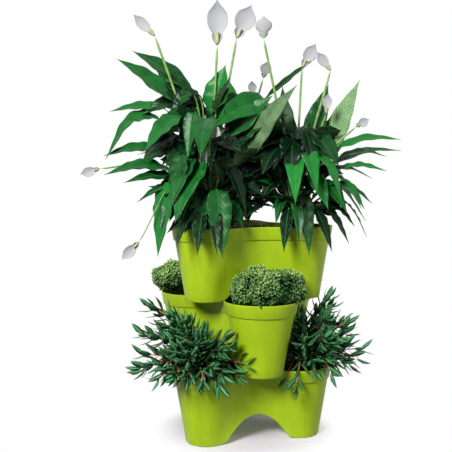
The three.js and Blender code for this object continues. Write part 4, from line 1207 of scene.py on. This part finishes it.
# Azimuth in degrees from the lobe's own, then reach and height of the tip as shares.
BACK_SHOOTS = (
    (0, 0.48, 0.65),
    (-42, 0.88, 0.8),
    (42, 0.85, 0.85),
    (-85, 0.9, 0.7),
    (85, 0.9, 0.72),
    (-15, 0.4, 1),
)
LEFT_SHOOTS = BACK_SHOOTS + (
    (-40, 0.95, 1.36),
    (-30, 0.5, 1.15),
    (-35, 1.1, 0.85),
    (-30, 1.1, 0.5),
    (-25, 1.2, 0.2),
    (-45, 1.15, 0.02),
    (-5, 1, 0.05),
    (15, 0.9, 0.1),
    (30, 0.8, 0.5),
    (70, 0.9, -0.08),
    (60, 0.85, 0.35),
    (-10, 0.3, 1.1),
    (60, 0.3, 0.9),
    (85, 0.7, 0.84),
    (100, 1.05, 0.4),
    (100, 0.9, 0.05),
    (-10, 0.9, 0.35),
    (5, 0.75, 0.15),
    (30, 0.85, 0.12),
    (50, 0.9, 0.05),
    (75, 0.9, 0.15),
    (-50, 0.75, 1),
    (20, 0.6, 0.9),
    (40, 0.7, 0.65),
)
RIGHT_SHOOTS = BACK_SHOOTS + (
    (20, 0.4, 1.42),
    (32, 0.5, 1.22),
    (20, 0.85, 0.72),
    (15, 1.1, 0.4),
    (5, 1, 0.2),
    (25, 0.9, -0.06),
    (-20, 0.6, 0.25),
    (-75, 0.75, 0.35),
    (-70, 0.7, 0.05),
    (-110, 0.85, -0.15),
    (-95, 0.9, -0.3),
    (0, 0.75, 0.55),
    (-10, 0.8, 0.15),
    (-40, 0.7, 0.55),
    (5, 0.8, 0.95),
    (-30, 0.45, 1.05),
    (-120, 0.45, 0.65),
    (-150, 0.3, 1.2),
    (150, 0.35, 1.1),
    (-90, 0.55, 0.8),
    (-45, 0.8, 0),
    (-60, 0.5, 0.4),
    (-130, 0.35, 1),
    (-105, 0.4, 1.05),
    (180, 0.3, 0.9),
    (-140, 0.5, 0.8),
)
SEEDED_SHOOTS = 16


def shrub_leaf():
    """A narrow blade with its edges raised and its face hollow: 3 rings of 4 points between two
    ends, all lowered by DROOP times the square of the share of the length."""
    stations = np.array([0.22, 0.5, 0.8])
    half = np.array([0.34, 0.5, 0.3])
    ring = [[0, -0.5, 0.12], [0, 0, 0.02], [0, 0.5, 0.12], [0, 0, -0.03]]
    points = [np.array(ring) * [1, 2 * h, 2 * h] + [s, 0, -DROOP * s * s] for s, h in zip(stations, half)]
    points = np.concatenate([[[0, 0, 0]], *points, [[1, 0, -DROOP]]])
    faces = [[0, 1 + (i + 1) % 4, 1 + i] for i in range(4)]
    for r in (1, 5):
        for i in range(4):
            a, b = r + i, r + (i + 1) % 4
            faces += [[a, b, b + 4], [a, b + 4, a + 4]]
    faces += [[9 + i, 9 + (i + 1) % 4, 13] for i in range(4)]
    return points, np.array(faces)


LEAF_POINTS, LEAF_FACES = shrub_leaf()
SLIM = SHRUB_LEAF_WIDTH / SHRUB_LEAF_LENGTH
SHRUBS = (("back", BACK_SHOOTS), ("left", LEFT_SHOOTS), ("right", RIGHT_SHOOTS))
for number, (side, shoots) in enumerate(SHRUBS):
    rng = np.random.default_rng(400 + number)
    lobe = FIRST_LOBE + 2 * number * SIXTH
    crown = outwards(lobe) * SHRUB_DISTANCE + UP * (COMPOST_LEVEL + FIT)
    spread = rng.uniform(-95, 95, SEEDED_SHOOTS)
    seeded = zip(spread, rng.uniform(0.3, 0.8, SEEDED_SHOOTS), rng.uniform(0.1, 0.8, SEEDED_SHOOTS))
    stems, leaves = Shape(), Shape()
    for azimuth, reach, height in list(shoots) + list(seeded):
        out = outwards(lobe + np.radians(azimuth))
        bend = out * 0.4 * reach * SHOOT_REACH + UP * 0.7 * max(height, 0.45) * SHOOT_HEIGHT
        knots = [np.zeros(3), bend, out * reach * SHOOT_REACH + UP * height * SHOOT_HEIGHT]
        across = np.cross(out, UP)
        steps = np.linspace(0, 1, len(STEM_RADII))
        path = push_clear(smooth_path(knots, STEM_END * steps) + crown, [0, 1], STEM_CLEARANCE)
        points, faces = tube(path, across, STEM_RADII, STEM_SIDES)
        stems.add(points, faces, tone=rng.uniform(0, 1))
        length = np.linalg.norm(np.diff(path, axis=0), axis=1).sum()
        nodes = int(0.8 * length / NODE_SPACING)
        share = np.repeat(np.linspace(0.2, 1, nodes), 2)
        slope = np.gradient(path, axis=0)
        where = np.stack([np.interp(share, steps, path[:, k]) for k in range(3)], axis=-1)
        tangent = unit(np.stack([np.interp(share, steps, slope[:, k]) for k in range(3)], axis=-1))
        turn = np.repeat(np.arange(nodes) * TURN / 4, 2) + rng.normal(0, 0.25, 2 * nodes)
        way = np.tile([1.0, -1.0], nodes)[:, None]
        upright = np.cross(tangent, across)
        sideways = way * (across * np.cos(turn)[:, None] + upright * np.sin(turn)[:, None])
        open_angle = (1.15 - 0.6 * share**4)[:, None]
        along = unit(tangent * np.cos(open_angle) + sideways * np.sin(open_angle) - UP * 0.15)
        flat = unit(np.cross(along, tangent + UP * 0.6))
        size = SHRUB_LEAF_LENGTH * (1 - 0.25 * share**4) * rng.uniform(0.75, 1.1, 2 * nodes)
        template = LEAF_POINTS * [1, SLIM, SLIM]
        points, faces = copies(template, LEAF_FACES, where, along, flat, size)
        clear = keep_clear(points, [0, 1], TOUCH)
        uv = np.broadcast_to(template[None, :, :2], points.shape[:2] + (2,))
        uv = uv * size[:, None, None] / UV_UNIT
        # Painted light and shade: high in the bush, leaves near a shoot's tip get a lighter tone and
        # those near its base a darker one.
        painted_light_height = np.clip((where[:, 2] - crown[2]) / SHOOT_HEIGHT, 0, 1)
        tone = rng.uniform(0, 0.4, 2 * nodes) + 0.4 * share**5 + 0.25 * (share - 0.5) * painted_light_height
        tone = np.repeat(np.clip(tone[clear], 0, 1), len(template))
        leaves.add(points[clear], faces[:int(clear.sum())].reshape(-1, 3), uv[clear], tone)
    node = "shrub_" + side
    make_piece(node + "_stems", stems, [SHRUB_STEM], "bottom_tier", "shrub_leaf", [node])
    make_piece(node + "_leaves", leaves, [SHRUB_LEAF], "bottom_tier", "shrub_leaf", [node], **LOOSE)

# %% [markdown]
# ## Floor, light and camera
# The tower stands on a white floor that runs out into white, as in a studio with a paper sweep.
# A bright floor must not light the object twice, so its extra white is only for rays that come
# from the camera, a mirror or glass. The main lamp stands in front, to the left and high up, which
# gives each lobe its soft upright highlight and the rims their shadows. A weak lamp at the right
# keeps the far sides of the lobes from going black.

# %% Studio floor
PAPER_IN, PAPER_OUT, PAPER_GLOW = 0.12, 0.215, 0.08
FLOOR_HALF = 1.0
AMBIENT = 0.09
WHITE = (1.0, 1.0, 1.0, 1.0)


def seen_directly(tree):
    """1 for rays from the camera, off a glossy surface or through glass."""
    path = add(tree, "LightPath", {}).outputs
    either = {"operation": "MAXIMUM", 0: path["Is Camera Ray"], 1: path["Is Glossy Ray"]}
    either = add(tree, "Math", either, 0)
    either = {"operation": "MAXIMUM", 0: either, 1: path["Is Transmission Ray"]}
    return add(tree, "Math", either, 0)


def floor_material():
    """White paper that fades into the white surroundings a little way out from the feet."""
    material, tree = new_material("white paper sweep")
    place = add(tree, "TexCoord", {}, "Object")
    reach = add(tree, "VectorMath", {"operation": "LENGTH", 0: place}, "Value")
    outer = {"Value": reach, "From Min": PAPER_IN, "From Max": PAPER_OUT}
    outer["interpolation_type"] = "SMOOTHSTEP"
    outer = add(tree, "MapRange", outer, 0)
    paper = add(tree, "BsdfDiffuse", {"Color": linear("#dcd4e2")}, 0)
    glow = add(tree, "MapRange", {"Value": seen_directly(tree), "To Max": PAPER_GLOW}, 0)
    glow = add(tree, "Emission", {"Color": WHITE, "Strength": glow}, 0)
    lit = add(tree, "AddShader", {0: paper, 1: glow}, 0)
    surface = {0: outer, 1: lit, 2: add(tree, "BsdfTransparent", {}, 0)}
    add(tree, "OutputMaterial", {"Surface": add(tree, "MixShader", surface, 0)})
    return material


floor_mesh = bpy.data.meshes.new("floor")
corners = FLOOR_HALF * np.array([(-1, -1, 0), (1, -1, 0), (1, 1, 0), (-1, 1, 0)])
floor_mesh.from_pydata(corners.tolist(), [], [(0, 1, 2, 3)])
floor_mesh.materials.append(floor_material())
floor = bpy.data.objects.new("floor", floor_mesh)
bpy.context.scene.collection.objects.link(floor)

world = bpy.data.worlds.new("studio")
bpy.context.scene.world = world
world.use_nodes = True
world.node_tree.nodes.clear()
sky = {"Value": seen_directly(world.node_tree), "To Min": AMBIENT, "To Max": 1.0}
sky = {"Color": WHITE, "Strength": add(world.node_tree, "MapRange", sky, 0)}
add(world.node_tree, "OutputWorld", {"Surface": add(world.node_tree, "Background", sky, 0)})
print("ambient light", AMBIENT)


# %% Lamps and camera
MIDDLE = (0.0, 0.0, 0.45)
KEY_PLACE, KEY_SIZE, KEY_WATTS = (-2.15, -2.25, 2.3), 1.1, 176
FILL_PLACE, FILL_SIZE, FILL_WATTS = (1.5, -1.0, 0.7), 0.8, 9
PICTURE_WIDTH, FOCAL_PIXELS, SENSOR = 452, 776, 36
CAMERA_PLACE = (-0.508, -1.671, 0.579)
HEADING = (0.267, 0.964)
DOWN = np.radians(3.8)


def lamp(name, place, size, watts):
    """A square area lamp at a place, turned to the middle of the tower."""
    data = bpy.data.lights.new(name, "AREA")
    data.size = size
    data.energy = watts
    light = bpy.data.objects.new(name, data)
    light.location = place
    light.rotation_euler = (Vector(MIDDLE) - Vector(place)).to_track_quat("-Z", "Y").to_euler()
    bpy.context.scene.collection.objects.link(light)


lamp("key", KEY_PLACE, KEY_SIZE, KEY_WATTS)
lamp("fill", FILL_PLACE, FILL_SIZE, FILL_WATTS)
camera_data = bpy.data.cameras.new("camera")
camera_data.sensor_width = SENSOR
camera_data.lens = SENSOR * FOCAL_PIXELS / PICTURE_WIDTH
camera = bpy.data.objects.new("camera", camera_data)
camera.location = CAMERA_PLACE
ahead = Vector((HEADING[0] * np.cos(DOWN), HEADING[1] * np.cos(DOWN), -np.sin(DOWN)))
camera.rotation_euler = ahead.to_track_quat("-Z", "Y").to_euler()
bpy.context.scene.collection.objects.link(camera)
bpy.context.scene.camera = camera
bpy.context.scene.view_settings.view_transform = "Standard"
print("lens", round(camera_data.lens, 1), "mm")
